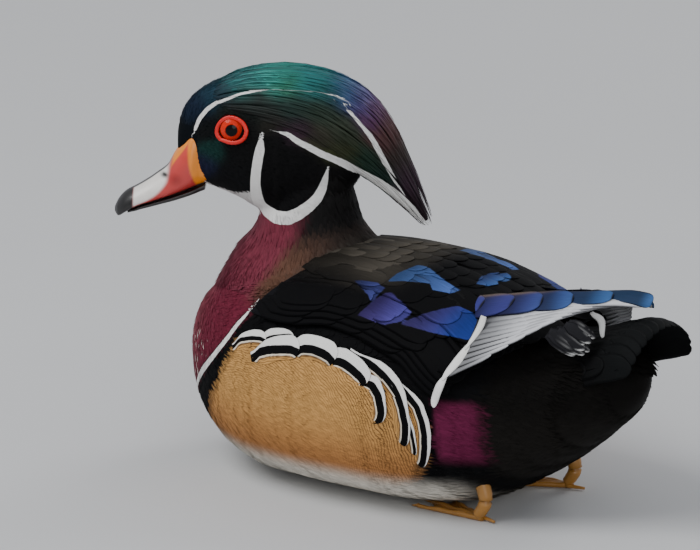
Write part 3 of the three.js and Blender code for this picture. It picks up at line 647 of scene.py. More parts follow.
def body_colours(points, chance):
    """Colour, gloss and strength of the fine dark waves for the body's coat."""
    x, _, z = points.T
    breast = (x < between(z, BREAST_EDGE)) | ((x < 62) & (z > 79.5)) | (z <= 28) & (x < 14)
    top = between(x, FLANK_TOP)
    flank = (x >= between(z, FLANK_FRONT)) & (z < top) & (x < between(z, FLANK_REAR))
    belly = smooth(z, 24, 12) * smooth(x, 8, 26) * smooth(x, 182, 166)
    burgundy = smooth(x, 171, 174) * smooth(x, 200, 186) * smooth(z, 62, 58) * smooth(z, 28, 36)
    back = (z > 89) & (x >= 58) & ~breast
    stern = (x > 192) & ~back
    colour = np.tile(linear(BODY_TONES["velvet"]), (len(points), 1))
    gloss = np.full(len(points), 0.12)
    for name, share, shine in (
            ("tan", flank, 0.1), ("tan_low", flank * smooth(z, 52, 18) * 0.8, None),
            ("breast", breast, 0.2),
            # Painted highlight: the breast grows lighter towards its front and top, where the light
            # falls on it.
            ("breast_pale_and_highlight", breast * smooth(x, 34, 6) * smooth(z, 30, 60), None),
            ("belly", belly, 0.05), ("burgundy", burgundy, None), ("rump", back, 0.35),
            ("mantle", back * smooth(x, 128, 84), None), ("stern", stern, None),
            ("fleck", (chance < 0.05) & breast & (z < 62) & (x < 34), None)):
        colour = over(colour, BODY_TONES[name], share)
        gloss = gloss if shine is None else mix(gloss, shine, share)
    colour = colour * np.where(stern, mix(1, 0.45, smooth(z, 40, 64)), 1)[:, None]
    wave = 0.06 + smooth(top - z, 34, 2) * 0.55 + smooth(x, 110, 165) * 0.6
    return colour, gloss, np.where(flank, np.clip(wave, 0, 1), 0) * (1 - belly)


def paint(mesh, owner=None, along=None, across=None, seed=3, near=3):
    """Puts the plumage's colours and markings on a mesh of skin or coat."""
    points = places_of(mesh)
    if owner is None:
        owner = np.arange(len(points))
        along, across = points[:, 0], points[:, 2]
    root = points[owner]
    x, y, z = root.T
    rng = np.random.default_rng(seed)
    chance = rng.random(len(points))[owner]
    shade = mix(*COAT_SHADES, chance * 17 % 1)
    head = on_head(root)
    neck = ~head & (z > 80) & (np.hypot(x - NECK_MIDDLE, y) < NECK_REACH)
    colour, gloss, wave = body_colours(points, chance)
    mark = marks(points[:, [0, 2]], BODY_LINES, owner, near)
    head_colour, head_gloss, _ = head_colours(root)
    forward, _, height = head_frame(points)
    head_mark = marks(stacked(forward, height), HEAD_LINES, owner, near)
    blend = smooth(z, 80, 92) * neck
    colour = mix(colour, neck_colours(root), blend[:, None])
    gloss = mix(gloss, NECK_GLOSS, blend)
    set_tint(mesh, np.where(head[:, None], head_colour, colour) * shade[:, None])
    set_attribute(mesh, "Mark", np.where((z > 100)[:, None], head_mark, mark))
    set_attribute(mesh, "Lie", stacked(along, across, rng.random(len(points))[owner] * 40))
    set_attribute(mesh, "Finish",
        stacked(np.where(head, head_gloss, gloss), np.where(head | neck, 0, wave), flank_wave(points)))


def share_round(side, up):
    """How far round a place lies, as a share of the layout's height."""
    return 0.03 + 0.94 * (np.arctan2(side, up) / (2 * math.pi) + 0.5)


def unwrap(points):
    """Places on a flat layout of the skin: body, neck and head side by side."""
    x, y, z = points.T
    forward, left, height = head_frame(points)
    body = stacked(0.02 + 0.52 * x / 270, share_round(y, z - 58))
    neck = stacked(0.57 + 0.12 * (z - 80) / 50, share_round(y, x - NECK_MIDDLE))
    head = stacked(0.72 + 0.26 * (60 - forward) / 120, share_round(left, height - 148))
    is_neck = ((z > 88) & (np.hypot(x - NECK_MIDDLE, y) < 48))[:, None]
    laid = np.where(on_head(points)[:, None], head, np.where(is_neck, neck, body))
    return np.clip(laid, 0.003, 0.997)


# Materials

BARB_BLACK = (9, 9, 11)
BARB_WHITE = (236, 235, 232)
WAVE_BROWN = (70, 46, 24)
EDGE_SOFT = 0.14
GROUP_SOCKETS = {"Color": "NodeSocketColor", "Normal": "NodeSocketVector"}


def live(sockets, name):
    """The socket of this name that the node's settings leave open."""
    return next(s for s in sockets if s.name == name and s.enabled)


def rgba(colour):
    return (*linear(colour), 1.0)


class Tree:
    """A node tree, with short ways to add nodes to it."""

    def __init__(self, tree):
        self.tree = tree

    def fill(self, made, inputs):
        """Links an output, or sets a plain value, on each input by its name or number."""
        for key, value in dict(inputs).items():
            socket = made.inputs[key] if isinstance(key, int) else live(made.inputs, key)
            if isinstance(value, bpy.types.NodeSocket):
                self.tree.links.new(value, socket)
            else:
                socket.default_value = value

    def add(self, kind, inputs=(), **settings):
        made = self.tree.nodes.new(kind)
        for key, value in settings.items():
            setattr(made, key, value)
        self.fill(made, inputs)
        return made

    def math(self, operation, *values):
        return self.add("ShaderNodeMath", enumerate(values), operation=operation).outputs[0]

    def scale(self, vector, factor):
        return self.add("ShaderNodeVectorMath", {0: vector, "Scale": factor},
            operation="SCALE").outputs[0]

    def ramp(self, value, low, high, to_low=0.0, to_high=1.0):
        names = ("Value", "From Min", "From Max", "To Min", "To Max")
        return self.add("ShaderNodeMapRange", zip(names, (value, low, high, to_low, to_high)),
            interpolation_type="SMOOTHSTEP", clamp=True).outputs["Result"]

    def mix(self, factor, a, b):
        made = self.add("ShaderNodeMix", {"Factor": factor, "A": a, "B": b}, data_type="RGBA")
        return live(made.outputs, "Result")

    def noise(self, scale, detail, place=None):
        """Noise over the object, or over other places."""
        place = place or self.add("ShaderNodeTexCoord").outputs["Object"]
        return self.add("ShaderNodeTexNoise",
            {"Vector": place, "Scale": scale, "Detail": detail}).outputs["Fac"]

    def bump(self, distance, strength, height):
        return self.add("ShaderNodeBump",
            {"Distance": distance * MM, "Strength": strength, "Height": height}).outputs["Normal"]

    def read(self, name, output="Color"):
        return self.add("ShaderNodeAttribute", attribute_name=name).outputs[output]

    def split(self, name):
        return self.add("ShaderNodeSeparateXYZ", {0: self.read(name, "Vector")}).outputs

    def dress(self, shader, group, inputs):
        """Adds a node group, and gives all that it puts out to the shader."""
        made = self.add("ShaderNodeGroup", inputs, node_tree=bpy.data.node_groups[group])
        self.fill(shader,
            {"Base Color" if out.name == "Color" else out.name: out for out in made.outputs})


def new_group(name, inputs, outputs):
    tree = bpy.data.node_groups.new(name, "ShaderNodeTree")
    for way, labels in (("INPUT", inputs), ("OUTPUT", outputs)):
        for label in labels:
            socket = tree.interface.new_socket(label, in_out=way,
                socket_type=GROUP_SOCKETS.get(label, "NodeSocketFloat"))
            if way == "INPUT":
                socket.default_value = inputs[label]
    return Tree(tree)


def barb_group():
    """Fine barbs along each feather, its painted lines, and the flank's dark waves."""
    tree = new_group("Feather barbs",
        {"Barb depth": 0.5, "Fray": 0.5, "Wave spacing": 1.15, "Relief": 0.4},
        ("Color", "Roughness", "Metallic", "Normal"))
    given = tree.add("NodeGroupInput").outputs
    offset, white, dark = tree.split("Mark")
    along, across, chance = tree.split("Lie")
    gloss, strength, wave = tree.split("Finish")
    place = tree.add("ShaderNodeCombineXYZ", {
        0: tree.math("MULTIPLY_ADD", along, 0.16, chance),
        1: tree.math("MULTIPLY", across, 2.4), 2: chance})
    barb = tree.noise(1.0, 2.0, place.outputs[0])
    uneven = tree.math("SUBTRACT", barb, 0.5)
    fray = tree.math("MULTIPLY", uneven, given["Fray"])
    away = tree.math("ABSOLUTE", tree.math("ADD", offset, fray))
    masks = []
    for half in (dark, white):
        edge = tree.ramp(away, tree.math("SUBTRACT", half, EDGE_SOFT),
            tree.math("ADD", half, EDGE_SOFT), 1.0, 0.0)
        exists = tree.math("MINIMUM", tree.math("MULTIPLY", half, 9.0), 1.0)
        masks.append(tree.math("MULTIPLY", edge, exists))
    phase = tree.math("ADD", wave, tree.math("MULTIPLY", tree.noise(130.0, 1.5), 4.2))
    turn = tree.math("DIVIDE", tree.math("MULTIPLY", phase, 2 * math.pi), given["Wave spacing"])
    line = tree.math("MULTIPLY", tree.ramp(tree.math("SINE", turn), 0.1, 0.95), strength)
    bright = tree.math("MULTIPLY_ADD", uneven, given["Barb depth"], 1.0)
    colour = tree.mix(tree.math("MULTIPLY", line, 0.85), tree.scale(tree.read("Tint"), bright),
        rgba(WAVE_BROWN))
    inside = tree.ramp(tree.math("ADD", tree.read("Inside", "Fac"), fray), 0.35, 0.75)
    colour = tree.mix(inside, colour, tree.scale(tree.read("Patch"), bright))
    for mask, paint_there in zip(masks, (BARB_BLACK, BARB_WHITE)):
        colour = tree.mix(mask, colour, rgba(paint_there))
    plain = tree.math("SUBTRACT", 1.0, tree.math("MAXIMUM", *masks))
    shine = tree.math("MULTIPLY", gloss, plain)
    tree.add("NodeGroupOutput", {
        "Color": colour, "Roughness": tree.math("MULTIPLY_ADD", shine, -0.3, 0.72),
        "Metallic": tree.math("MULTIPLY", shine, 0.55),
        "Normal": tree.bump(0.12, given["Relief"], barb)})


def new_material(name):
    material = bpy.data.materials.new(name)
    material.use_nodes = True
    return material, Tree(material.node_tree), material.node_tree.nodes["Principled BSDF"]


def plumage_material(name, barb_depth, relief, fray=0.5, specular=0.2):
    material, tree, shader = new_material(name)
    tree.dress(shader, "Feather barbs", {"Barb depth": barb_depth, "Relief": relief, "Fray": fray})
    tree.fill(shader, {"Specular IOR Level": specular})
    return material


def skin_relief_group():
    """Small bumps and a mottled tone for bare skin and horn."""
    tree = new_group("Bare skin relief",
        {"Color": (0.5, 0.1, 0.05, 1), "Grain": 900.0, "Mottle": 0.25, "Depth": 0.3},
        ("Color", "Roughness", "Normal"))
    given = tree.add("NodeGroupInput").outputs
    broad = tree.noise(160.0, 2.0)
    change = tree.math("MULTIPLY", tree.math("SUBTRACT", broad, 0.5), given["Mottle"])
    tree.add("NodeGroupOutput", {
        "Color": tree.scale(given["Color"], tree.math("ADD", change, 1.0)),
        "Roughness": tree.ramp(broad, 0.3, 0.7, 0.28, 0.42),
        "Normal": tree.bump(0.15, given["Depth"], tree.noise(given["Grain"], 3))})


def bare_material(name, colour, grain, mottle, depth, coat):
    """Bare skin or horn; with no colour given it reads the piece's own Tint."""
    material, tree, shader = new_material(name)
    tree.dress(shader, "Bare skin relief", {
        "Color": tree.read("Tint") if colour is None else rgba(colour), "Grain": grain,
        "Mottle": mottle, "Depth": depth})
    tree.fill(shader, {"Coat Weight": coat, "Coat Roughness": 0.25})
    return material


def eye_material(look):
    """Black pupil and red iris by distance from the eye's axis, under a clear gloss."""
    material, tree, shader = new_material("Eye")
    ring = tree.read("Ring", "Fac")
    iris = tree.mix(tree.noise(1500.0, 2.0), rgba(look.iris_dark), rgba(look.iris_light))
    edge = tree.ramp(ring, look.pupil_radius - 0.2, look.pupil_radius + 0.35)
    # Painted shade: the iris darkens to a dark rim at its outer edge, where the ring of the lid meets
    # the eye.
    rim = tree.ramp(ring, look.iris_radius - 0.5, look.iris_radius)
    colour = tree.mix(rim, tree.mix(edge, rgba((4, 4, 5)), iris), rgba((40, 8, 6)))
    tree.fill(shader, {"Base Color": colour, "Roughness": 0.12, "Specular IOR Level": 0.12,
                       "Coat Weight": 0.1, "Coat Roughness": 0.02})
    return material


def floor_material():
    material, tree, shader = new_material("Pale floor")
    colour = tree.mix(tree.noise(3.0, 3.0), rgba((196, 197, 198)), rgba((206, 207, 208)))
    tree.fill(shader, {"Base Color": colour, "Roughness": 0.85})
    return material


# Skin: one smooth body, neck and head, under the coat

def skin_shells(depth):
    stations = np.concatenate([eased(0, 428, 60)[:30], [214]])
    body = rings_of(body_point, stations, 72, -depth)
    body[0, :, 0] += depth
    stern = rings_of(stern_point, np.linspace(205, 247, 16), 72, -depth)
    neck = rings_of(neck_point, np.linspace(76, 146, 24), 48, -depth)
    head = rings_of(head_surface, eased(-25, 58.6, 36), 56, -depth)
    nape = rings_of(crest_point, np.linspace(0.02, 0.6, 18), 48, -depth - 1.6)
    return joined([outward(*loft(r)) for r in (body, stern, neck, head, nape)])


def smooth_skin(depth, voxel):
    points, faces = skin_shells(depth)
    piece = new_object("plumage_skin", new_mesh("plumage_skin", to_row(points), faces))
    remesh = piece.modifiers.new("Seamless", "REMESH")
    remesh.mode = "VOXEL"
    remesh.voxel_size = voxel * MM
    remesh.use_smooth_shade = True
    soft = piece.modifiers.new("Soften", "SMOOTH")
    soft.factor = 0.5
    soft.iterations = 14
    applied(piece)
    return piece


class Hide:
    """The skin's points, faces and normals, kept for setting feathers on it."""

    def __init__(self, piece):
        mesh = piece.data
        mesh.calc_loop_triangles()
        self.faces = read(mesh.loop_triangles, "vertices", int)
        self.points = places_of(mesh)
        self.normals = read(mesh.vertices, "normal")

    def scatter(self, kind, spacing, rng):
        """Places spread evenly over one part of the skin, and their normals."""
        faces = self.faces[coat_part(self.points[self.faces].mean(1)) == kind]
        corner = self.points[faces]
        area = np.linalg.norm(np.cross(corner[:, 1] - corner[:, 0], corner[:, 2] - corner[:, 0]),
            axis=1) / 2
        count = int(area.sum() / spacing**2 * 4)
        pick = rng.choice(len(faces), count, p=area / area.sum())
        u, v = rng.random(count), rng.random(count)
        fold = u + v > 1
        u, v = np.where(fold, 1 - u, u), np.where(fold, 1 - v, v)
        share = stacked(1 - u - v, u, v)[..., None]
        points = (corner[pick] * share).sum(1)
        normals = unit((self.normals[faces[pick]] * share).sum(1))
        cell = np.floor(points / (0.84 * spacing)).astype(np.int64)
        key = (cell * CELL_KEYS).sum(1)
        _, first = np.unique(key, return_index=True)
        first.sort()
        return points[first], normals[first]


HIDE = {}
CELL_KEYS = (73856093, 19349663, 83492791)


def coat_lie(points, normals):
    """The way that feathers point at each place: back from the bill, down the neck, aft."""
    x, _, z = points.T
    forward, _, height = head_frame(points)
    body = stacked(1, 0, -0.16 - 1.5 * smooth(x, 42, 4) * smooth(z, 20, 50))
    neck = stacked(0.25 + 0.4 * smooth(z, 100, 80), 0, -1)
    rise = smooth(forward, 42, 56) * np.clip((height - 147) / 9, -1.2, 1.6)
    fall = -0.3 - 1.0 * smooth(forward, 0, -24) - 0.5 * smooth(height, 140, 120)
    head = (stacked(0, 0, rise + np.where(rise > 0, 0, fall))
        - HEAD_FORWARD * (1 - 0.4 * smooth(forward, 42, 56))[:, None])
    on = on_head(points).astype(float)[:, None]
    low = smooth(z, 80, 100)[:, None]
    flow = mix(mix(body, neck, low), head, on * smooth(z, 108, 120)[:, None])
    flat = flow - normals * (flow * normals).sum(1, keepdims=True)
    return unit(flat)


# Feathers of the coat: a small closed form, set many times by Geometry Nodes

def tuft_form():
    """A flat lock: rim, raised back and flat underside."""
    points = [(0, 0, 0), (0.4, 0.5, 0), (1, 0, 0), (0.4, -0.5, 0), (0.36, 0, 0.5), (0.36, 0, -0.3)]
    faces = [(0, 3, 4), (3, 2, 4), (2, 1, 4), (1, 0, 4), (3, 0, 5), (2, 3, 5), (1, 2, 5), (0, 1, 5)]
    return points, faces


def contour_form():
    """A rounded body feather with a raised back."""
    rim = [(0, 0, 0), (0.28, -0.42, 0), (0.64, -0.5, 0), (0.9, -0.3, 0), (1, 0, 0), (0.9, 0.3, 0),
        (0.64, 0.5, 0), (0.28, 0.42, 0)]
    points = rim + [(0.3, 0, 0.5), (0.76, 0, 0.42), (0.45, 0, -0.25)]
    back = [(0, 1, 8), (1, 2, 8), (2, 9, 8), (2, 3, 9), (3, 4, 9), (4, 5, 9), (5, 6, 9), (6, 8, 9),
        (6, 7, 8), (7, 0, 8)]
    under = [((i + 1) % 8, i, 10) for i in range(8)]
    return points, back + under


def coat_tree():
    """Sets one feather on every root, turned and sized by the root's own values."""
    group = bpy.data.node_groups.new("Coat of feathers", "GeometryNodeTree")
    sizes = ("Length", "Width", "Thickness")
    for label, kind in (("Roots", "Geometry"), ("Feather", "Object"),
                        *((size, "Float") for size in sizes), ("Unevenness", "Float"),
                        ("Seed", "Int"), ("Finish", "Material")):
        group.interface.new_socket(label, in_out="INPUT", socket_type="NodeSocket" + kind)
    group.interface.new_socket("Coat", in_out="OUTPUT", socket_type="NodeSocketGeometry")
    tree = Tree(group)
    given = tree.add("NodeGroupInput").outputs
    turn = tree.add("GeometryNodeInputNamedAttribute", {"Name": "Turn"}, data_type="FLOAT_VECTOR")
    feather = tree.add("GeometryNodeObjectInfo", {"Object": given["Feather"], "As Instance": True})
    shape = tree.add("ShaderNodeCombineXYZ", enumerate(given[size] for size in sizes))
    chance = tree.add("FunctionNodeRandomValue", {
        "Min": tree.math("SUBTRACT", 1.0, given["Unevenness"]),
        "Max": tree.math("ADD", 1.0, given["Unevenness"]), "Seed": given["Seed"]},
        data_type="FLOAT")
    place = tree.add("GeometryNodeInstanceOnPoints", {
        "Points": given["Roots"], "Instance": feather.outputs["Geometry"],
        "Rotation": live(turn.outputs, "Attribute"),
        "Scale": tree.scale(shape.outputs[0], live(chance.outputs, "Value"))})
    real = tree.add("GeometryNodeRealizeInstances", {"Geometry": place.outputs["Instances"]})
    finish = tree.add("GeometryNodeSetMaterial",
        {"Geometry": real.outputs["Geometry"], "Material": given["Finish"]})
    tree.add("NodeGroupOutput", {"Coat": finish.outputs["Geometry"]})
    return group


def euler_of(x_axis, y_axis, z_axis):
    return stacked(np.arctan2(y_axis[:, 2], z_axis[:, 2]), -np.arcsin(np.clip(x_axis[:, 2], -1, 1)),
        np.arctan2(x_axis[:, 1], x_axis[:, 0]))


ROOT_SINK = 0.12
TURN_SPREAD = 0.1
UNEVENNESS = 0.15
NORMAL_FROM_SKIN = 0.85
LOWEST_COAT = 0.3
BAKE_SPREAD = 0.003


def grow_coat(kind, form, length, width, thickness, spacing, rise, material, seed):
    """A coat piece: roots on the skin, feathers from the tree, then colours and bake map."""
    name = kind + "_feathers"
    rng = np.random.default_rng(seed)
    roots, normals = HIDE["skin"].scatter(kind, spacing, rng)
    lie = coat_lie(roots, normals)
    side = np.cross(normals, lie)
    turn = rng.normal(0, TURN_SPREAD, len(roots))[:, None]
    lie = unit(lie * np.cos(turn) + side * np.sin(turn))
    lift = (rise * DEG * rng.uniform(0.6, 1.4, len(roots)))[:, None]
    x_axis = unit(lie * np.cos(lift) + normals * np.sin(lift))
    y_axis = unit(np.cross(normals, x_axis))
    z_axis = np.cross(x_axis, y_axis)
    cloud = bpy.data.meshes.new(name)
    cloud.vertices.add(len(roots))
    sunk = to_row(roots - normals * ROOT_SINK)
    cloud.vertices.foreach_set("co", sunk.astype(np.float32).ravel())
    set_attribute(cloud, "Turn", euler_of(x_axis, y_axis, z_axis))
    piece = new_object(name, cloud)
    points, faces = form()
    points = np.array(points, float)
    template = new_object(name + "_form", new_mesh(name + "_form", points, faces))
    tree = bpy.data.node_groups.get("Coat of feathers") or coat_tree()
    growth = piece.modifiers.new("Growth", "NODES")
    growth.node_group = tree
    values = {"Feather": template, "Length": length * MM, "Width": width * MM,
        "Thickness": thickness * MM, "Unevenness": UNEVENNESS, "Seed": seed, "Finish": material}
    for item in tree.interface.items_tree:
        if item.in_out == "INPUT" and item.name in values:
            growth[item.identifier] = values[item.name]
    mesh = applied(piece).data
    bpy.data.objects.remove(template)
    keep_above(mesh, LOWEST_COAT)
    owner = np.repeat(np.arange(len(roots)), len(points))
    local = np.tile(points, (len(roots), 1))
    tip = owner * len(points) + int(points[:, 0].argmax())
    paint(mesh, tip, local[:, 0] * length, local[:, 1] * width, seed, length)
    set_bake_map(mesh, unwrap(roots)[owner] + (local[:, :2] - (0.5, 0)) * BAKE_SPREAD)
    blended = unit(mix(read(mesh.vertices, "normal"), normals[owner], NORMAL_FROM_SKIN))
    mesh.normals_split_custom_set_from_vertices(blended.tolist())
    return piece


# Vanes: long thin closed feathers laid on a surface

OVAL_FROM = 0.45
VANE_EDGE = 0.12
VANE_BACK = 0.8
VANE_UNDER = 0.6
SHAFT_RIDGE = 0.33


def vane_section(columns):
    """Side and height of a closed section, with a shaft's ridge along its middle."""
    s = np.linspace(-1, 1, columns)
    inner = s[1:-1][::-1]
    shaft = SHAFT_RIDGE * (np.abs(s) < 0.01)
    return np.concatenate([stacked(s, VANE_EDGE + VANE_BACK * (1 - s**2) + shaft),
                           stacked(inner, -VANE_EDGE - VANE_UNDER * (1 - inner**2))])


def lens(t):
    return np.clip(np.sin(np.clip(0.08 + 0.9 * t, 0, 1) * math.pi), 0.04, 1) ** 0.7


def pointed(t):
    return 0.28 + 0.72 * smooth(t, 0, 0.3) - 0.93 * smooth(t, 0.35, 1.02)


def outline(root, full, closing, power, most, least):
    """Share of the width along a feather: it opens from its root and closes at its end."""
    def at(t):
        closed = np.clip((t - closing) / (1 - closing), 0, 1) ** power
        return mix(root, 1, smooth(t, 0, full)) * np.sqrt(np.clip(most - closed, least, 1))
    return at


blunt = outline(1, 0.3, 0.72, 2.4, 1.02, 0.03)
rounded = outline(0.35, 0.3, 0.72, 2.4, 1.03, 0.03)
lash = outline(0.4, 0.35, 0.8, 2.2, 1.004, 0.004)
oval = outline(0.5, 0.3, OVAL_FROM, 2, 1, 0.001)


def vanes(surface, start, end, width, thick, rise, tilt=0.1, spread=rounded, steps=10, bow=0.0,
        camber=0.08, columns=5):
    """Points (feather, step, round), faces, and each point's place along and across."""
    section = vane_section(columns)
    count, around = len(start), len(section)
    width, thick, tilt, bow = (np.broadcast_to(v, (count,)) for v in (width, thick, tilt, bow))
    low, high = (np.broadcast_to(v, (count,)) for v in rise)
    t = 1 - (1 - np.linspace(0, 1, steps)) ** 1.25
    u = mix(start[:, :1], end[:, :1], t)
    v = mix(start[:, 1:], end[:, 1:], t)
    lift = mix(low[:, None], high[:, None], t)
    centre = surface(u, v, lift)
    normal = unit(surface(u, v, lift + 0.5) - centre)
    run = unit(np.gradient(centre, axis=1))
    side = unit(np.cross(normal, run))
    normal = np.cross(run, side)
    centre = centre + side * (bow[:, None] * np.sin(t * math.pi) ** 2)[..., None]
    s, h = section.T
    half = width[:, None] / 2 * spread(t)
    across = half[..., None] * s
    drop = -camber * half[..., None] * s**2 + np.sin(tilt)[:, None, None] * across
    body = thick[:, None, None] / 2 * h * np.clip(spread(t), 0.35, 1)[None, :, None]
    points = (centre[:, :, None] + side[:, :, None] * across[..., None]
        + normal[:, :, None] * (drop + body)[..., None])
    ring, row = np.arange(around), np.arange(steps - 1)[:, None] * around
    a, b = (row + ring).ravel(), (row + (ring + 1) % around).ravel()
    one = [stacked(a, b, b + around), stacked(a, b + around, a + around)]
    fan = np.array([(0, i + 1, i) for i in range(1, around - 1)])
    top = (steps - 1) * around
    one += [fan, fan[:, ::-1] + top]
    one = np.concatenate(one)[:, ::-1]
    faces = (np.arange(count)[:, None, None] * steps * around + one).reshape(-1, 3)
    length = np.linalg.norm(centre[:, 1:] - centre[:, :-1], axis=-1).sum(1)
    along = np.broadcast_to((length[:, None] * t)[..., None], across.shape)
    return points, faces, along, across


def feather_piece(name, sets, material, painter, seed):
    """One mesh of several sets of vanes, painted, with a cell of the bake map for each."""
    rng = np.random.default_rng(seed)
    points, faces, rows = [], [], []
    base = feathers = rings = 0
    for kind, (place, face, along, across) in enumerate(sets):
        count, steps, around = across.shape
        order, step = np.arange(count)[:, None, None], np.arange(steps)[:, None]
        widest = np.maximum(np.abs(across).max((1, 2), keepdims=True), 1e-6)
        row = {"owner": order + feathers, "ring": order * steps + step + rings, "kind": kind,
            "along": along, "across": across, "length": along[:, -1:],
            "t": along / np.maximum(along[:, -1:], 1e-6), "beside": 0.5 + across / widest / 2}
        rows.append({key: np.broadcast_to(v, across.shape).ravel() for key, v in row.items()})
        points.append(place.reshape(-1, 3))
        faces.append(face + base)
        base += across.size
        feathers += count
        rings += count * steps
    v = SimpleNamespace(points=np.concatenate(points),
        **{key: np.concatenate([row[key] for row in rows]) for key in rows[0]})
    v.points[:, 2] = np.maximum(v.points[:, 2], LOWEST_COAT)
    v.chance = rng.random(feathers)[v.owner]
    v.s = v.beside * 2 - 1
    piece = make_piece(name, v.points, np.concatenate(faces), material)
    mesh = piece.data
    side = math.ceil(math.sqrt(feathers))
    corner = stacked(v.owner % side, v.owner // side) / side
    set_bake_map(mesh, corner + (0.06 + 0.88 * stacked(v.t, v.beside)) / side)
    look = {"gloss": 0, "mark": (0, 0, 0), "wave": (0, 0), **painter(v)}
    set_tint(mesh, look["colour"] * mix(*VANE_SHADES, v.chance)[:, None])
    set_attribute(mesh, "Mark", look["mark"])
    set_attribute(mesh, "Lie", stacked(v.along, v.across, v.chance * 40))
    set_attribute(mesh, "Finish", stacked(look["gloss"], *look["wave"]))
    if "patch" in look:
        set_attribute(mesh, "Patch", look["patch"])
        set_attribute(mesh, "Inside", look["inside"], "FLOAT")
    return piece


def slab(surface, us, vs, low, high):
    """A closed shell between two lifts over a patch of a surface."""
    u, v = np.meshgrid(us, vs, indexing="ij")
    rows, cols = u.shape
    points = np.concatenate([surface(u, v, lift + 0 * u).reshape(-1, 3) for lift in (high, low)])
    i, j = np.meshgrid(np.arange(rows - 1), np.arange(cols - 1), indexing="ij")
    a = (i * cols + j).ravel()
    quad = stacked(a, a + 1, a + cols + 1, a + cols)
    under = quad[:, ::-1] + rows * cols
    rim = np.concatenate([np.arange(cols - 1), np.arange(rows - 1) * cols + cols - 1,
                          (rows - 1) * cols + np.arange(cols - 1, 0, -1),
                          np.arange(rows - 1, 0, -1) * cols])
    nxt = np.roll(rim, -1)
    wall = stacked(nxt, rim, rim + rows * cols, nxt + rows * cols)
    return outward(points, np.concatenate([quad, under, wall]))


def mirrored(surface):
    """The same surface on the right side."""
    return lambda u, v, lift: surface(u, v, lift) * (1, -1, 1)


# Crest's locks

CORE_SINK = -1.2


def crest_locks(rng, count):
    """Roots over the crown and nape, tips staggered down the hanging mane."""
    angle = rng.uniform(0, 2 * math.pi, count)
    start = np.clip(rng.uniform(-0.02, 0.62, count), 0.02, 0.62)
    end = np.clip(start + rng.uniform(0.3, 0.46, count), 0, 1.0 - 0.06 * rng.random(count))
    high = rng.uniform(0.6, 2.0, count) * (1 - 0.5 * end)
    lean = angle + rng.normal(0, 0.06, count)
    return vanes(crest_point, stacked(start, angle), stacked(end, lean), rng.uniform(1.5, 2.4, count),
        0.35, (0.4, high), tilt=rng.normal(0, 0.2, count), spread=pointed, steps=9,
        bow=rng.normal(0, 0.5, count))


def paint_crest(v):
    """Marks as on the head; the points of one ring read one line, and only from nearby."""
    colour, gloss, flat = head_colours(v.points)
    first = np.searchsorted(v.ring, np.arange(v.ring[-1] + 1))
    return {"colour": colour, "gloss": gloss, "mark": marks(flat, HEAD_LINES, first[v.ring], 3)}


# Wings

WING_MM = 1.15
WING_BLACK = (5, 5, 7)
PATCH_GLOSS = 0.6
WING_PATCHES = (
    # corners by station and degrees round; front and rear colours, and their stations
    (((146, 43), (155, 33), (164, 24), (178, 25), (180, 41), (163, 43)),
     (92, 80, 158), (42, 66, 150), 150, 174),
    (((124, 44), (128, 33), (131, 29), (139, 32), (148, 36), (146, 42), (139, 46)),
     (90, 72, 148), (80, 76, 156), 124, 148),
    (((126, 24), (126, 18), (130, 10), (136, 10), (146, 13), (157, 15), (156, 19), (148, 21),
      (144, 18)), (92, 128, 196), (84, 118, 194), 126, 157),
    (((109, 27), (122, 26), (128, 28), (126, 36), (122, 33)), (74, 80, 140), (70, 76, 142),
     109, 128),
    (((160, 8), (156, 1), (159, -3), (166, 2), (164, 6)), (70, 96, 170), (70, 110, 176), 156, 166),
)
WING_ROWS = (
    # feathers, first and last q, root and tip t, width, root and tip lift
    (10, 0.40, 0.92, 0.45, 1.0, 12, 1.2, 2.3),
    (5, 0.08, 0.36, 0.45, 1.0, 15, 1.9, 2.9),
    (9, 0.42, 0.90, 0.42, 0.80, 13, 1.7, 2.6),
    (9, 0.40, 0.90, 0.30, 0.62, 12, 1.9, 2.8),
    (9, 0.40, 0.90, 0.18, 0.46, 12, 2.0, 2.9),
    (10, 0.38, 0.89, 0.04, 0.32, 11, 2.0, 2.9),
    (5, 0.08, 0.40, 0.50, 0.86, 17, 2.4, 3.2),
    (5, 0.07, 0.42, 0.36, 0.72, 17, 2.6, 3.4),
    (6, 0.06, 0.43, 0.24, 0.58, 15, 2.7, 3.5),
    (7, 0.05, 0.42, 0.12, 0.44, 13, 2.8, 3.6),
    (8, 0.04, 0.40, 0.00, 0.30, 11, 2.6, 3.5),
)


def wing_sets(surface, rng):
    sets = []
    for count, first, last, root, tip, width, low, high in WING_ROWS:
        q = np.linspace(first, last, count) + rng.normal(0, 0.004, count)
        order = 0.015 * rng.normal(0, 1, count)
        start = stacked(root + order, np.clip(q - 0.015, 0.02, 0.98))
        end = stacked(np.clip(tip + order, 0, 1), q)
        sets.append(vanes(surface, start, end, width * rng.uniform(0.94, 1.06, count), 0.16,
                          (low, high - np.linspace(0, 0.4, count)), tilt=0.02, steps=26,
                          camber=0.05, columns=9))
    return sets


def mantle_set(rng):
    """Feathers down the middle of the back, over the line where the wings meet."""
    station, angle = np.meshgrid(np.arange(62, 182, 8.0), np.array((-9, -3, 3, 9)) * DEG)
    station = station.ravel() + rng.normal(0, 1.5, station.size)
    angle = angle.ravel() + rng.normal(0, 1, station.size) * DEG
    lift = mix(2.4, 3.6, smooth(station, 60, 90))
    return vanes(on_body, stacked(station, angle), stacked(station + 24, angle), 11, 0.3,
        (lift - 0.9, lift + 0.35), tilt=0.0, steps=20, columns=7)


def wing_place(points):
    """Station and angle from the spine, as millimetres round the body."""
    x, y, z = points.T
    wide = body_wide(x)
    a = np.abs(y) / body_half(x)
    b = (z - wide) / np.maximum(body_top(x) - wide, 1)
    angle = np.arctan2(a ** 1.1, np.sign(b) * np.abs(b) ** 1.1) / DEG
    return stacked(x, angle * WING_MM)


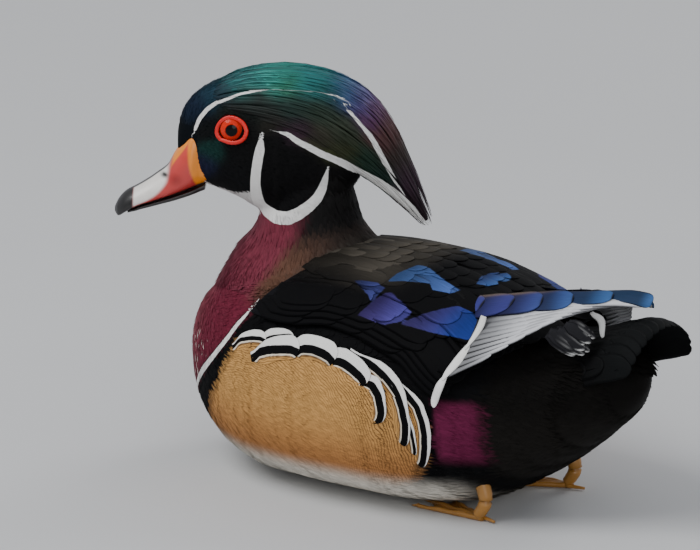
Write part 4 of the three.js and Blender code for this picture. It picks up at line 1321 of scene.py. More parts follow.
def depth_inside(flat, corners):
    """Distance inside a closed outline, negative outside it."""
    at = np.array(corners, float) * (1, WING_MM)
    inside = np.zeros(len(flat), bool)
    best = np.full(len(flat), 1e9)
    for a, b in zip(at, np.roll(at, -1, axis=0)):
        run = b - a
        t = np.clip(((flat - a) @ run) / (run @ run), 0, 1)
        best = np.minimum(best, np.linalg.norm(flat - a - t[:, None] * run, axis=1))
        crosses = (a[1] > flat[:, 1]) != (b[1] > flat[:, 1])
        with np.errstate(divide="ignore", invalid="ignore"):
            cut = a[0] + (flat[:, 1] - a[1]) / (b[1] - a[1]) * run[0]
        inside ^= crosses & (flat[:, 0] < cut)
    return np.where(inside, best, -best)


def tip_edge(v):
    """Distance in from the rounded edge of a feather's end."""
    w = np.clip((v.t - OVAL_FROM) / (1 - OVAL_FROM), 0, 1)
    return (1 - np.hypot(w, v.s)) * (1 - OVAL_FROM) * v.length


def paint_wing(v):
    flat = wing_place(v.points)
    x, arc = flat.T
    fore = smooth(x, 142, 112) * smooth(arc, 40, 20)
    pale = linear(BODY_TONES["mantle"]) * mix(0.35, 1.7, v.t**2)[:, None]
    patch = np.zeros((len(flat), 3))
    best = np.full(len(flat), -1e9)
    for corners, front, rear, low, high in WING_PATCHES:
        depth = depth_inside(flat, corners)
        blend = smooth(x, low, high)[:, None]
        hue = mix(linear(front), linear(rear), blend) * mix(0.35, 1.1, v.t**1.5)[:, None]
        hue = hue * mix(0.3, 0.75, blend)
        nearer = depth > best
        patch[nearer] = hue[nearer]
        best = np.maximum(best, depth)
    return {"colour": mix(linear(WING_BLACK), pale, fore[:, None]),
        "gloss": np.where(best > 0, PATCH_GLOSS, 0.1), "patch": patch,
        "inside": np.clip((best + 0.2) * mix(0.25, 0.8, v.t) + 0.4, 0, 6)}


# Primaries, their plumes and the tail

BLUE_TIPS = (1.0, 0.69, 0.485, 0.32, 0.19, 0.07)
BLUE_WIDTHS = (7.5, 10, 13, 15, 16, 16)


def primary_sets(surface):
    """Blue-edged tips stepped along the top, and the silvery webs fanned out below."""
    tips = np.array(BLUE_TIPS)
    order = np.linspace(0, 1, len(tips))
    upper = vanes(surface, stacked(tips - 0.42, 0.17), stacked(tips, 0.3 - 0.1 * order), BLUE_WIDTHS,
        0.4, (0.6 + 0.9 * order, 1.1 + 1.3 * order), tilt=-0.03, steps=34, camber=0.1, spread=blunt,
        columns=13)
    share = np.linspace(0, 1, 10)
    webs = vanes(surface, stacked(mix(-0.3, -0.02, share), 0.22 + 0.7 * share),
        stacked(0.97 - 0.75 * share, 0.45 + 0.47 * share), 8.5 - 1.5 * share, 0.35,
        (0.4 - 1.8 * share, 0.5 - 0.8 * share), tilt=-0.08, steps=24, camber=0.1, columns=7,
        spread=blunt)
    return [upper, webs]


def paint_primaries(v):
    x, y, z = v.points.T
    across = np.abs(v.s)
    blue = over(linear((52, 54, 118)), (46, 84, 132), smooth(x, 185, 240))
    blue = blue * mix(0.3, 1.15, smooth(v.t, 0.62, 0.94))[:, None]
    rim = np.maximum(smooth(v.t, 0.965, 0.99), smooth(across, 0.86, 0.98))
    blue = over(blue, (22, 22, 30), rim)
    blue = over(blue, (120, 100, 84), 0.7 * smooth(v.s, 0.6, 0.9) * smooth(x, 215, 190))
    line = np.maximum(smooth(v.s * np.sign(y), 0.66, 0.86), 0.5 * smooth(across, 0.12, 0.02))
    # Painted shade: the webs are near black in front of the wing's white rear edge, where they run in
    # under the wing, and lighten over some 26 mm behind it; on top of that each feather is darker by a
    # random share.
    behind = x - edge_station(z)
    shade = smooth(behind, -2, 1) * mix(0.3, 1, smooth(behind, 2, 26)) * mix(1, 0.8, v.chance)
    web = over(linear((216, 217, 221)), (40, 40, 46), line) * mix(0.03, 1, shade)[:, None]
    upper = v.kind == 0
    return {"colour": np.where(upper[:, None], blue, web), "gloss": np.where(upper, 0.38, 0.05)}


# The white rear edge of the folded wing, and the start, end and width of each white tip on it
EDGE_POINTS = ((182.1, -33.7, 95.0), (181.5, -35.0, 91.0), (180.6, -38.4, 86.4), (180.4, -46.1, 81.1),
    (179.8, -51.1, 77.0), (177.7, -55.8, 72.0), (176.3, -59.1, 67.0), (173.8, -58.9, 60.8),
    (173.8, -59.5, 57.2))
EDGE_LINE = spline(EDGE_POINTS)
edge_station = profile(*((z, x) for x, _, z in reversed(EDGE_POINTS)))
EDGE_TIPS = ((-0.1, 0.36, 3.6), (0.29, 0.68, 4.6), (0.62, 1.0, 4.6))


def edge_set(flip):
    """Three white-ended feathers laid over the roots of the flight feathers."""
    def place(u, v, lift):
        at, ahead = EDGE_LINE(u), EDGE_LINE(u + 0.02) - EDGE_LINE(u - 0.02)
        out = unit(np.array((0.25, -0.75, 0.6)) + 0 * at)
        side = unit(np.cross(out, ahead))
        return (at + side * v[..., None] + out * lift[..., None]) * (1, flip, 1)

    first, last, width = np.array(EDGE_TIPS).T
    first = np.maximum(first, -0.1 * flip)
    order = np.arange(len(first)) * 0.35
    return vanes(place, stacked(first, 0), stacked(last, 0), width, 0.5, (2.6 - order, 2.9 - order),
        spread=lens, steps=18, camber=0.15, columns=9)


def paint_edge(v):
    return {"colour": linear(BARB_WHITE) * mix(1, 0.8, v.s**4)[:, None]}


PLUME_ROWS = (
    ((204, -38, 97.5), (228, -25, 82.6)),
    ((209, -33, 99.5), (232, -23, 86.5)),
    ((215, -28, 101), (235, -20.5, 91.5)),
)
FAR_PLUME_ROWS = (((225.5, -14.5, 103), (233, -12, 87)), ((226, -13.5, 103), (234, -11, 88)))


def plume_set(rows, rng, count, first, width, bow=0.0):
    """A bundle of narrow drooping feathers below the folded primaries."""
    roots = spline([a for a, _ in rows])
    tips = spline([b for _, b in rows])
    out = unit(np.array((0.3, -0.8, 0.52)))

    def hang(u, v, lift):
        sag = np.sin(np.clip(u, 0, 1) * math.pi)[..., None] * np.array((0.5, -1.5, 2.5))
        return mix(roots(v), tips(v), u[..., None]) + sag + out * lift[..., None]

    v = np.linspace(0.05, 1, count)
    start = stacked(rng.uniform(first, first + 0.1, count), v)
    end = stacked(rng.uniform(0.88, 1.02, count), v + rng.normal(0, 0.03, count))
    lift = rng.uniform(-0.8, 0.8, count)
    return vanes(hang, start, end, width * rng.uniform(0.8, 1.2, count), 0.35, (lift, lift + 0.4),
        tilt=0.15, spread=oval, steps=18, bow=bow, columns=7)


def paint_plumes(v):
    """Dark grey with faint streaks and a white rim round each end; white on the far ones."""
    streak = smooth(np.sin(v.s * 9 + v.chance * 6), 0.75, 1) * smooth(v.t, 0.2, 0.6) * 0.16
    rim = smooth(tip_edge(v), 1.2, 0.7) * smooth(v.t, 0.7, 0.86) * smooth(v.s, 0.2, -0.6)
    white = np.where(v.kind == 1, 1, np.clip(np.maximum(streak, rim), 0, 1))
    return {"colour": over(linear((26, 26, 30)), (234, 234, 232), white), "gloss": 0.1}


TAIL_TURN = 74 * DEG
COVERT_TURN = 68 * DEG
COVERT_ROWS = (
    # root and tip station, feathers, root and tip lift
    (204, 246, 15, 0.6, 0.8),
    (196, 236, 15, 0.75, 0.95),
    (188, 224, 14, 0.9, 1.1),
)


def tail_sets(rng):
    """Fourteen tail feathers over the arch, and three rows of coverts on their roots."""
    angle = np.linspace(-TAIL_TURN, TAIL_TURN, 14)
    fold = np.abs(angle)
    sets = [vanes(on_tail, stacked(203, angle * 0.9),
                  stacked(mix(252, 258, np.sqrt(np.cos(angle))), angle), 13, 0.4,
                  (0.2 * fold, 0.5 - 0.25 * fold), tilt=0.03, steps=26, columns=9, spread=blunt)]
    for root, tip, count, low, high in COVERT_ROWS:
        angle = np.linspace(-COVERT_TURN, COVERT_TURN, count)
        last = tip - 5 * np.abs(angle) + rng.normal(0, 1.5, count)
        sets.append(vanes(on_tail, stacked(root, angle * 0.9), stacked(last, angle), 11, 0.2,
                          (low, high), tilt=0.02, steps=14, camber=0.03, columns=7))
    return sets


def paint_tail(v):
    shade = smooth(v.points[:, 0], 225, 250)
    return {"colour": over(linear((9, 9, 10)), (12, 14, 15), shade), "gloss": 0.12}


# Barred feathers along the top and rear of the flank

FLANK_BARS = (
    # places with half a width of white; feathers, black beyond the white, lift
    (((60, 70.5, 0.3), (64, 72.2, 1.1), (70, 74.4, 1.5), (75, 75.4, 1.5), (80, 77.0, 1.7),
      (87, 78.8, 1.4), (93, 79.4, 0.4)), 2, 2.0, -0.8),
    (((160.4, 65.6, 0.4), (164, 62.4, 0.9), (167.6, 58.4, 1.05), (170.2, 51.2, 1.05),
      (171.2, 44.8, 0.95), (170.8, 38.3, 0.75), (169, 30, 0.3)), 1, 3.0, -0.8),
    (((150, 68.2, 0.2), (154.2, 64, 0.5), (158, 59.4, 0.6), (161.4, 52.6, 0.6),
      (164, 46, 0.5), (165.4, 37, 0.2)), 1, 1.6, -0.85),
    (((138.6, 76.8, 0.4), (144.4, 74.8, 1.3), (150.3, 71.6, 1.6), (155.4, 67.4, 1.5),
      (158.8, 62.4, 1.3), (160.8, 56.5, 0.8), (162.4, 49, 0.5), (163, 42, 0.4)), 1, 3.4, -0.75),
    (((76, 71.2, 0.6), (79.4, 72.1, 1.4), (85.2, 74.2, 2.1), (92.2, 76, 2.4), (100.4, 77.3, 2.5),
      (106.7, 77.3, 2.3), (113.5, 77.2, 2.5), (120.7, 76.2, 2.6), (127.4, 74.2, 2.3),
      (133.6, 72.5, 2.4), (139.7, 69.6, 2.0), (144.4, 66, 1.5), (147.6, 61.5, 1.0),
      (149.8, 56, 0.6), (151.2, 50, 0.3)), 4, 3.9, -0.5),
)
THREAD_ROOM = 2.3
THREAD_PALE = (232, 222, 204)
THREAD_BROWN = (70, 48, 32)


def under_bars(points):
    """True where the barred feathers cover the coat."""
    flat = points[:, [0, 2]]
    covered = np.zeros(len(flat), bool)
    for line, _, black, _ in FLANK_BARS:
        offset, half = offset_from(flat, line)
        covered |= (offset < half) & (offset > 1.0 - half - black - THREAD_ROOM)
    return covered


def angle_at(station, height):
    """The angle round the body at a height on its left side."""
    angles = np.linspace(0, math.pi, 181)
    heights = body_point(np.asarray(station, float)[..., None], angles)[..., 2]
    flat = [np.interp(-h, -row, angles) for h, row in zip(np.ravel(height), heights.reshape(-1, 181))]
    return np.reshape(flat, np.shape(height))


def bar_width(line, black):
    return 2 * max(half for *_, half in line) + black + THREAD_ROOM


def bar_sets(flip):
    """Long feathers lying back along each white bar, each front one over the next."""
    sets = []
    for line, count, black, level in FLANK_BARS:
        places = np.array(line)
        first, last = (places[a] + (places[a] - places[b]) * 2 for a, b in ((0, 1), (-1, -2)))
        places = np.concatenate([[first], places, [last]])
        places[[0, -1], 2] = 0
        steps = np.hypot(*np.diff(places[:, :2], axis=0).T)
        run = np.concatenate([[0], np.cumsum(steps)]) - steps[0]
        whole = run[-2]
        width = bar_width(line, black)

        def side(a, offset, lift):
            x, z = (np.interp(a, run, places[:, i]) for i in range(2))
            along = [np.interp(a + 4, run, places[:, i]) - np.interp(a - 4, run, places[:, i])
                for i in range(2)]
            out = unit(stacked(-along[1], along[0]))
            x, z = x + offset * out[..., 0], z + offset * out[..., 1]
            return on_body(x, angle_at(x, z), lift) * (1, flip, 1)

        gap = whole / count
        order = np.arange(count)
        at = order * gap
        ends = []
        for a in (at - 0.25 * gap, at + 1.08 * gap):
            half = np.interp(a, run, places[:, 2])
            ends.append(stacked(a, half - width / 2))
        lift = level - 0.2 * order
        sets.append(vanes(side, *ends, width, 0.3, (lift - 0.2, lift), tilt=0.13 * flip,
                          spread=lash, steps=44, bow=0.9 * flip, camber=0.04, columns=25))
    return sets


def paint_bars(v):
    """White along the outer edge and tip of each feather, then black, then fine threads."""
    bars = len(FLANK_BARS)
    count = len(v.t)
    flat = v.points[:, [0, 2]]
    mark, inner = np.zeros((count, 3)), np.zeros(count)
    for i, (line, _, black, _) in enumerate(FLANK_BARS):
        mine = v.kind % bars == i
        half = offset_from(flat[mine], line)[1]
        out = v.across[mine] * np.where(v.kind[mine] < bars, 1, -1)
        width = bar_width(line, black) / 2
        depth = width * lash(v.t[mine]) - out
        share = smooth(out, width - 2 * half - 2.6, width - 2 * half - 0.6)
        share = mix(1, mix(0.12, 1, share), smooth(v.t[mine], 0.8, 0.93))
        white, room = half * share, 2 * half + black
        mark[mine] = stacked(depth - white, white, room - white)
        inner[mine] = depth - room
    colour = over(linear(BODY_TONES["tan"]), THREAD_PALE, smooth(inner, 0.9, 0.5))
    brown = smooth(inner, 0.6, 0.9) * smooth(inner, 1.6, 1.3)
    colour = over(colour, THREAD_BROWN, 0.9 * brown)
    strength = smooth(inner, 1.4, 1.8) * mix(0.8, 0.35, smooth(inner, 2, 5))
    return {"colour": colour, "gloss": 0.05, "mark": mark, "wave": (strength, inner)}


# Bill

bill_top = profile((44, 153), (49.5, 154.8), (52, 153), (55, 148.5), (60, 141.6), (63, 136),
    (67, 132.8), (71, 129.8), (77, 126), (82, 123.2), (85.4, 119.4), (87, 116))
bill_bottom = profile((44, 129.5), (50, 127), (60, 123), (70, 119.4), (77, 117), (82, 114), (85.4, 112),
    (87, 113.6))
bill_full = profile((44, 3), (52, 2.8), (60, 2.1), (66, 1.9))
bill_half = profile((44, 7.2), (48, 8), (50, 8.8), (52, 9.5), (55, 9.7), (60, 9.3), (66, 8.2),
    (72, 7.7), (78, 7.6), (82, 6.9), (85.4, 4.6), (87, 1.6))
BILL_WIDEST = 0.28
BILL_UNDER_FULL = 3
LOWER_BILL_WIDEST = 0.6
LOWER_BILL_FULL = (6, 2.2)
NOSTRIL = (64.2, 132.2)
NOSTRIL_RADII = (2.2, 1.2)


def lower_top(forward):
    return bill_bottom(np.minimum(forward, 77)) - 0.35 - np.maximum(0, forward - 77) * 0.4


def from_nostril(forward, height):
    """Square of the distance from the nostril's middle, in its own radii."""
    return (((forward - NOSTRIL[0]) / NOSTRIL_RADII[0]) ** 2
        + ((height - NOSTRIL[1]) / NOSTRIL_RADII[1]) ** 2)


def bill_upper_surface(forward, angle):
    low, high = bill_bottom(forward), bill_top(forward)
    side, height = section_point(angle, bill_half(forward), high, low, mix(low, high, BILL_WIDEST),
        bill_full(forward), BILL_UNDER_FULL)
    side = side - np.sign(side) * 1.3 * np.exp(-from_nostril(forward, height) * 1.4)
    return head_point(forward, side, height)


def bill_lower_surface(forward, angle):
    high = lower_top(forward)
    low = high - mix(3.4, 1.6, np.clip((forward - 46) / 36, 0, 1))
    half = bill_half(np.minimum(forward, 78)) - 0.9 - np.maximum(0, forward - 77) * 0.5
    side, height = section_point(angle, half, high, low, mix(low, high, LOWER_BILL_WIDEST),
        *LOWER_BILL_FULL)
    return head_point(forward, side, height)


yellow_reach = profile((126, 48.5), (131.4, 51), (137.7, 52.9), (143, 53.4))
white_rear = profile((117.5, 78.3), (121.3, 70.6), (125.2, 66.1), (129.9, 63), (134.5, 62.2))
YELLOW_DEPTH = 3.6


def paint_bill(mesh):
    """Black ridge and nail, white patch, red sides and the yellow line by the feathers."""
    forward, left, height = head_frame(places_of(mesh))
    side = np.abs(left)
    colour = over(linear((190, 58, 54)), (206, 60, 50), smooth(height, 134, 144))
    limit = yellow_reach(height)
    top = smooth(height - bill_top(forward), -YELLOW_DEPTH - 0.6, -YELLOW_DEPTH + 0.6)
    edge = np.maximum(smooth(forward, limit + 0.7, limit - 0.7), top * smooth(forward, 62, 59.5))
    nostril = np.exp(-from_nostril(forward, height) * 2) * (side > 2)
    ridge = smooth(side, 2.4, 1.4) * smooth(forward, 60, 62)
    black = np.max([ridge, smooth(forward, 77.8, 79), nostril * 1.4], axis=0)
    deep = 0.7 * smooth(np.hypot((forward - 59) / 5, (height - 131) / 4), 1, 0)
    white = smooth(forward - white_rear(height), -1.2, 1.6) * smooth(forward, 79, 77.8)
    seam = 0.7 * smooth(height - bill_bottom(forward), 0.7, 0.2) * smooth(forward, 54, 58)
    for paint_there, share in (
            ((140, 24, 22), deep), ((240, 140, 24), edge), ((232, 228, 222), white),
            ((13, 12, 12), np.clip(black, 0, 1)), ((60, 18, 16), seam)):
        colour = over(colour, paint_there, share)
    set_tint(mesh, colour)


# Eyes and lids

LID_OUTLINE = profile((-180, 6.9), (-150, 6.5), (-120, 5.9), (-90, 5.6), (-60, 5.9), (-38, 6.9),
    (-20, 7.0), (0, 6.6), (30, 6.0), (60, 5.7), (90, 5.6), (120, 5.8), (150, 6.4), (180, 6.9))
LID_TUBE = 0.95
LID_HEIGHT = 0.6
LID_LIFT = 0.35
LID_RIPPLE = 0.1
LID_LEAST_SIDE = 15.6


def eye_piece(name, side, material):
    """An eyeball with each point's distance from its axis, which the iris is painted by."""
    def ball(polar, round_):
        out = EYE_RADIUS * np.sin(polar)
        left = CORNEA_SIDE - EYE_RADIUS + EYE_RADIUS * np.cos(polar)
        return head_point(IRIS_AT[0] + out * np.cos(round_), side * left,
            IRIS_AT[1] + out * np.sin(round_))

    piece = shell(name, ball, np.linspace(0, math.pi, 40)[1:-1], 64, material)
    forward, left, height = head_frame(places_of(piece.data))
    ring = np.hypot(forward - IRIS_AT[0], height - IRIS_AT[1])
    front = left * side > CORNEA_SIDE - EYE_RADIUS
    set_attribute(piece.data, "Ring", np.where(front, ring, EYE_RADIUS), "FLOAT")
    return piece


def lid_piece(name, side, material):
    """The red ring round the eye, drawn to a point in front below."""
    around, tube = 96, 16
    a = np.linspace(-180, 180, around, endpoint=False)[:, None]
    reach = LID_OUTLINE(a)
    along, up = np.cos(a * DEG), np.sin(a * DEG)
    w = round_steps(tube)
    out = reach + np.cos(w) * LID_TUBE + LID_RIPPLE * np.sin(a * DEG * 23) * (np.sin(w) > 0)
    base = head_side(IRIS_AT[0] + reach * along, IRIS_AT[1] + reach * up)
    left = (np.maximum(base, LID_LEAST_SIDE) * 0.5 + base * 0.5 + np.sin(w) * LID_HEIGHT + LID_LIFT)
    rings = head_point(IRIS_AT[0] + out * along, side * left, IRIS_AT[1] + out * up)
    i, j = np.meshgrid(np.arange(around), np.arange(tube), indexing="ij")
    a0, b0 = i * tube + j, i * tube + (j + 1) % tube
    a1, b1 = (i + 1) % around * tube + j, (i + 1) % around * tube + (j + 1) % tube
    quads = stacked(a0, b0, b1, a1).reshape(-1, 4)
    return make_piece(name, *outward(rings.reshape(-1, 3), quads), material)


# Legs and feet, tucked under the belly

FOOT_AT = (180.0, 33.0)
FOOT_TURN = 14 * DEG
TOES = ((-15, 36), (0, 41), (15, 34))


def tube(path, radii, count=14):
    """A closed tube along a path of points."""
    path, radii = np.array(path, float), np.array(radii, float)
    run = unit(np.gradient(path, axis=0))
    side = unit(np.cross(run, np.array((0, 0, 1.0)) + 0 * run) + 1e-6)
    up = np.cross(side, run)
    a = round_steps(count)
    rings = (path[:, None] + radii[:, None, None]
             * (side[:, None] * np.cos(a)[None, :, None] + up[:, None] * np.sin(a)[None, :, None]))
    return outward(*loft(rings))


def foot_shell(side):
    """Three jointed toes with claws, a small hind toe and the webs between them."""
    def place(forward, across, up):
        turn = -side * FOOT_TURN
        x, y = -np.asarray(forward, float), np.asarray(across, float)
        return stacked(FOOT_AT[0] + x * math.cos(turn) - y * math.sin(turn),
            -side * FOOT_AT[1] + x * math.sin(turn) + y * math.cos(turn), up)

    shells = []
    for spread, length in TOES:
        s = np.linspace(0, 1, 22)
        reach = s * length
        joint = 0.22 * np.cos(s * 6 * math.pi) * (s < 0.9)
        radius = mix(1.5, 0.85, s) + joint * 0.6
        path = place(reach * math.cos(spread * DEG), reach * math.sin(spread * DEG), radius)
        shells.append(tube(path, radius))
        tip = np.linspace(0, 1, 8)
        claw = place((length - 0.8 + 4.2 * tip) * math.cos(spread * DEG),
            (length - 0.8 + 4.2 * tip) * math.sin(spread * DEG), 1.3 - 0.9 * tip)
        shells.append(tube(claw, 0.75 * (1 - tip) ** 0.7 + 0.08, 10))
    hind = np.linspace(0, 1, 8)
    shells.append(tube(place(2 - 9 * hind, side * 1.5, 1.4 - 0.3 * hind), 1.1 - 0.5 * hind, 10))
    for (a0, l0), (a1, l1) in zip(TOES[:-1], TOES[1:]):
        def web(u, v, lift):
            angle = mix(a0, a1, v) * DEG
            reach = u * mix(l0, l1, v) * (0.93 - 0.16 * np.sin(v * math.pi))
            return place(reach * np.cos(angle), reach * np.sin(angle), 0.7 + lift)
        shells.append(slab(web, np.linspace(0.05, 1, 12), np.linspace(0, 1, 9), -0.22, 0.22))
    return joined(shells)


def shank_shell(side):
    path = spline([(178, -side * 33, 2.75), (182, -side * 33, 10), (178, -side * 32, 20),
        (170, -side * 31, 30)])
    s = np.linspace(0, 1, 24)
    scales = 0.08 * np.sin(s * 60)
    return tube(path(s), 2.6 + 1.6 * s + scales, 18)


# Stage

LIGHT_AIM = Vector((0, 0, 0.08))
FLOOR_HALF = 4.0


def area_light(name, place, size, power):
    lamp = bpy.data.lights.new(name, "AREA")
    lamp.shape = "DISK"
    lamp.size = size
    lamp.energy = power
    light = new_object(name, lamp)
    light.location = place
    light.rotation_euler = (LIGHT_AIM - Vector(place)).to_track_quat("-Z", "Y").to_euler()


def camera_axes():
    a, e = CAMERA_AZIMUTH, CAMERA_ELEVATION
    right = Vector((math.cos(a), math.sin(a), 0))
    back = Vector((math.sin(a) * math.cos(e), -math.cos(a) * math.cos(e), math.sin(e)))
    return right, back.cross(right), back


def set_camera():
    right, up, back = camera_axes()
    width, height = PHOTO_SIZE
    origin = Vector(((FIRST_STATION + PHOTO_ORIGIN_STATION) * MM, 0, 0))
    off_right = (width / 2 - PHOTO_ORIGIN[0]) * MM_PER_PIXEL * MM
    off_up = (PHOTO_ORIGIN[1] - height / 2) * MM_PER_PIXEL * MM
    target = origin + right * off_right + up * off_up
    lens = bpy.data.cameras.new("Camera")
    lens.sensor_width = SENSOR
    lens.lens = SENSOR * CAMERA_DISTANCE / (width * MM_PER_PIXEL * MM)
    lens.clip_end = 30
    camera = new_object("Camera", lens)
    camera.location = target + back * CAMERA_DISTANCE
    camera.rotation_euler = back.to_track_quat("Z", "Y").to_euler()
    bpy.context.scene.camera = camera


# Controls

class DuckCoat(bpy.types.PropertyGroup):
    skin_depth: FloatProperty(name="Skin depth", default=1.5, min=0.5, max=4,
        description="How far the skin lies under the feathers, in mm")
    skin_voxel: FloatProperty(name="Skin detail", default=1.3, min=0.8, max=3,
        description="Size of the skin's faces, in mm")
    face_spacing: FloatProperty(name="Face spacing", default=0.85, min=0.5, max=4,
        description="Distance between feathers on the face, in mm")
    neck_spacing: FloatProperty(name="Neck spacing", default=1.15, min=0.5, max=4,
        description="Distance between feathers on the neck, in mm")
    body_spacing: FloatProperty(name="Body spacing", default=1.9, min=1, max=8,
        description="Distance between feathers on the body, in mm")
    seed: IntProperty(name="Seed", default=7, description="Picks another lie of the feathers")


class DuckEyes(bpy.types.PropertyGroup):
    iris_radius: FloatProperty(name="Iris radius", default=5.3, min=3, max=7,
        description="Outer edge of the red iris, in mm")
    pupil_radius: FloatProperty(name="Pupil radius", default=2.75, min=1, max=5,
        description="Edge of the black pupil, in mm")
    iris_dark: FloatVectorProperty(name="Iris shade", default=(176, 24, 12), min=0, max=255,
        description="Darker red of the iris, display values")
    iris_light: FloatVectorProperty(name="Iris light", default=(236, 58, 26), min=0, max=255,
        description="Brighter red of the iris, display values")
    lid_colour: FloatVectorProperty(name="Lid colour", default=(216, 20, 12), min=0, max=255,
        description="Ring of bare skin, display values")


class DuckStage(bpy.types.PropertyGroup):
    key_power: FloatProperty(name="Key light", default=26, min=0, unit="POWER",
        description="Power of the large light above")
    fill_power: FloatProperty(name="Fill light", default=9, min=0, unit="POWER",
        description="Power of the light beside the camera")
    room_light: FloatProperty(name="Room light", default=0.55, min=0, max=3,
        description="Strength of the even light from all round")


GROUPS = {"duck_coat": DuckCoat, "duck_eyes": DuckEyes, "duck_stage": DuckStage}
LOWEST_SKIN = 0.6
EYE_CLEARANCE = 7.0
BREAST_END = 64
FLANK_END = 182
STERN_END = 232
BELLY_TOP = 10


def settle(piece, slot, *nodes):
    """Places a finished piece on the frame, under the root body, and hides the frame's parts that it
    stands for.
    """
    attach(piece, "root")
    if nodes:
        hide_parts(*nodes)


def lay(name, sets, finish, painter, seed, *place):
    """Lays a piece of single feathers and settles it."""
    settle(feather_piece(name, sets, finish, painter, seed), *place)


def grow(rows, seed):
    """Grows the coat of each row on its part of the skin and settles it."""
    for i, (row, *place) in enumerate(rows):
        settle(grow_coat(*row, seed + i), *place)


class DUCK_OT_skin(bpy.types.Operator):
    """Makes the seamless skin under the coat"""
    bl_idname = "duck.skin"
    bl_label = "Skin"

    def execute(self, context):
        look = context.scene.duck_coat
        barb_group()
        skin_relief_group()
        piece = smooth_skin(look.skin_depth, look.skin_voxel)
        mesh = piece.data
        keep_above(mesh, LOWEST_SKIN)
        mesh.update()
        paint(mesh)
        mesh.materials.append(plumage_material("Skin under feathers", 0.6, 0.4, specular=0.05))
        settle(piece, "body_plumage", "torso")
        HIDE["skin"] = Hide(piece)
        return {"FINISHED"}


def bare_place(points):
    """True round the eye, under the bill, and below the head's own coat."""
    forward, _, height = head_frame(points)
    eye = np.hypot(forward - IRIS_AT[0], height - IRIS_AT[1]) < EYE_CLEARANCE
    edge = np.interp(height, (118, 124, 131, 150, 156), (48.5, 49.5, 50.2, 50.2, 51.5))
    bill = (forward > edge) & (height < 155) & (height > bill_bottom(forward) - 3)
    return eye | bill | (height <= 60)


def under_wing(points):
    station, arc = wing_place(points).T
    low = wing_low_angle(station) / DEG * WING_MM
    return (station > 72) & (station < 200) & (arc < low * 0.93)


def coat_part(points):
    """The name of the coat that grows on each place of the skin."""
    forward, _, _ = head_frame(points)
    x, y, z = points.T
    head = on_head(points)
    kind = np.select(
        [head & (forward > 16), head, (z > 84) & (np.hypot(x - NECK_MIDDLE, y) < NECK_REACH),
         (z > 78) & (x > 58), x < BREAST_END, z < BELLY_TOP, x < FLANK_END],
        ["face", "head", "neck", "back", "breast", "belly", "flank"], "stern")
    bare, winged = bare_place(points), under_wing(points)
    for name, hidden in (("face", bare), ("head", bare), ("neck", bare), ("back", winged),
                         ("flank", winged | under_bars(points)), ("stern", x >= STERN_END)):
        kind[(kind == name) & hidden] = "none"
    return kind


class DUCK_OT_head_coat(bpy.types.Operator):
    """Sets the fine feathers of the face, head and neck"""
    bl_idname = "duck.head_coat"
    bl_label = "Head and neck feathers"

    def execute(self, context):
        look = context.scene.duck_coat
        fine = plumage_material("Head feathers", 0.7, 0.5, fray=0.35, specular=0.12)
        soft = plumage_material("Neck feathers", 0.7, 0.5)
        face, neck = look.face_spacing, look.neck_spacing
        grow((
            (("face", tuft_form, 3.0, 0.9, 0.3, face, 9, fine), "head_plumage"),
            (("head", tuft_form, 5.0, 1.1, 0.35, face * 1.25, 8, fine), "head_plumage", "head"),
            (("neck", tuft_form, 7.5, 1.7, 0.45, neck * 1.15, 8, soft), "neck_plumage", "neck"),
        ), look.seed)
        return {"FINISHED"}


class DUCK_OT_body_coat(bpy.types.Operator):
    """Sets the feathers of the breast, flanks, belly, back and stern"""
    bl_idname = "duck.body_coat"
    bl_label = "Body feathers"

    def execute(self, context):
        look = context.scene.duck_coat
        finish = plumage_material("Body feathers", 0.5, 0.5, specular=0.06)
        rows = (
            ("breast", tuft_form, 7.5, 2.2, 0.3, 0.72, 2.5),
            ("flank", tuft_form, 9, 2.2, 0.25, 0.72, 1.8),
            ("belly", contour_form, 10, 4, 0.3, 1.7, 2),
            ("stern", tuft_form, 9, 2.6, 0.3, 0.74, 1.5),
            ("back", contour_form, 10, 5, 0.3, 1.4, 3),
        )
        grow((((*row[:5], look.body_spacing * row[5], row[6], finish), "body_plumage") for row in rows),
            look.seed + 20)
        lay("flank_bar_feathers", bar_sets(1) + bar_sets(-1), finish, paint_bars, look.seed,
            "body_plumage")
        return {"FINISHED"}


class DUCK_OT_crest(bpy.types.Operator):
    """Lays the long locks of the crest over the crown and nape"""
    bl_idname = "duck.crest"
    bl_label = "Crest"

    def execute(self, context):
        seed = context.scene.duck_coat.seed
        finish = plumage_material("Crest feathers", 0.8, 0.6, fray=0.4, specular=0.4)
        core = shell("crest_core", lambda t, angle: crest_point(t, angle, CORE_SINK),
            np.linspace(0.03, 0.97, 40), 48, finish)
        # The core under the locks carries the head's colours at 0.6 of their brightness, as painted
        # shade in the depth between the locks.
        set_tint(core.data, head_colours(places_of(core.data))[0] * 0.6)
        settle(core, "crest_plumage")
        lay("crest_locks", [crest_locks(np.random.default_rng(seed), 760)], finish, paint_crest,
            seed, "crest_plumage", "crest")
        return {"FINISHED"}


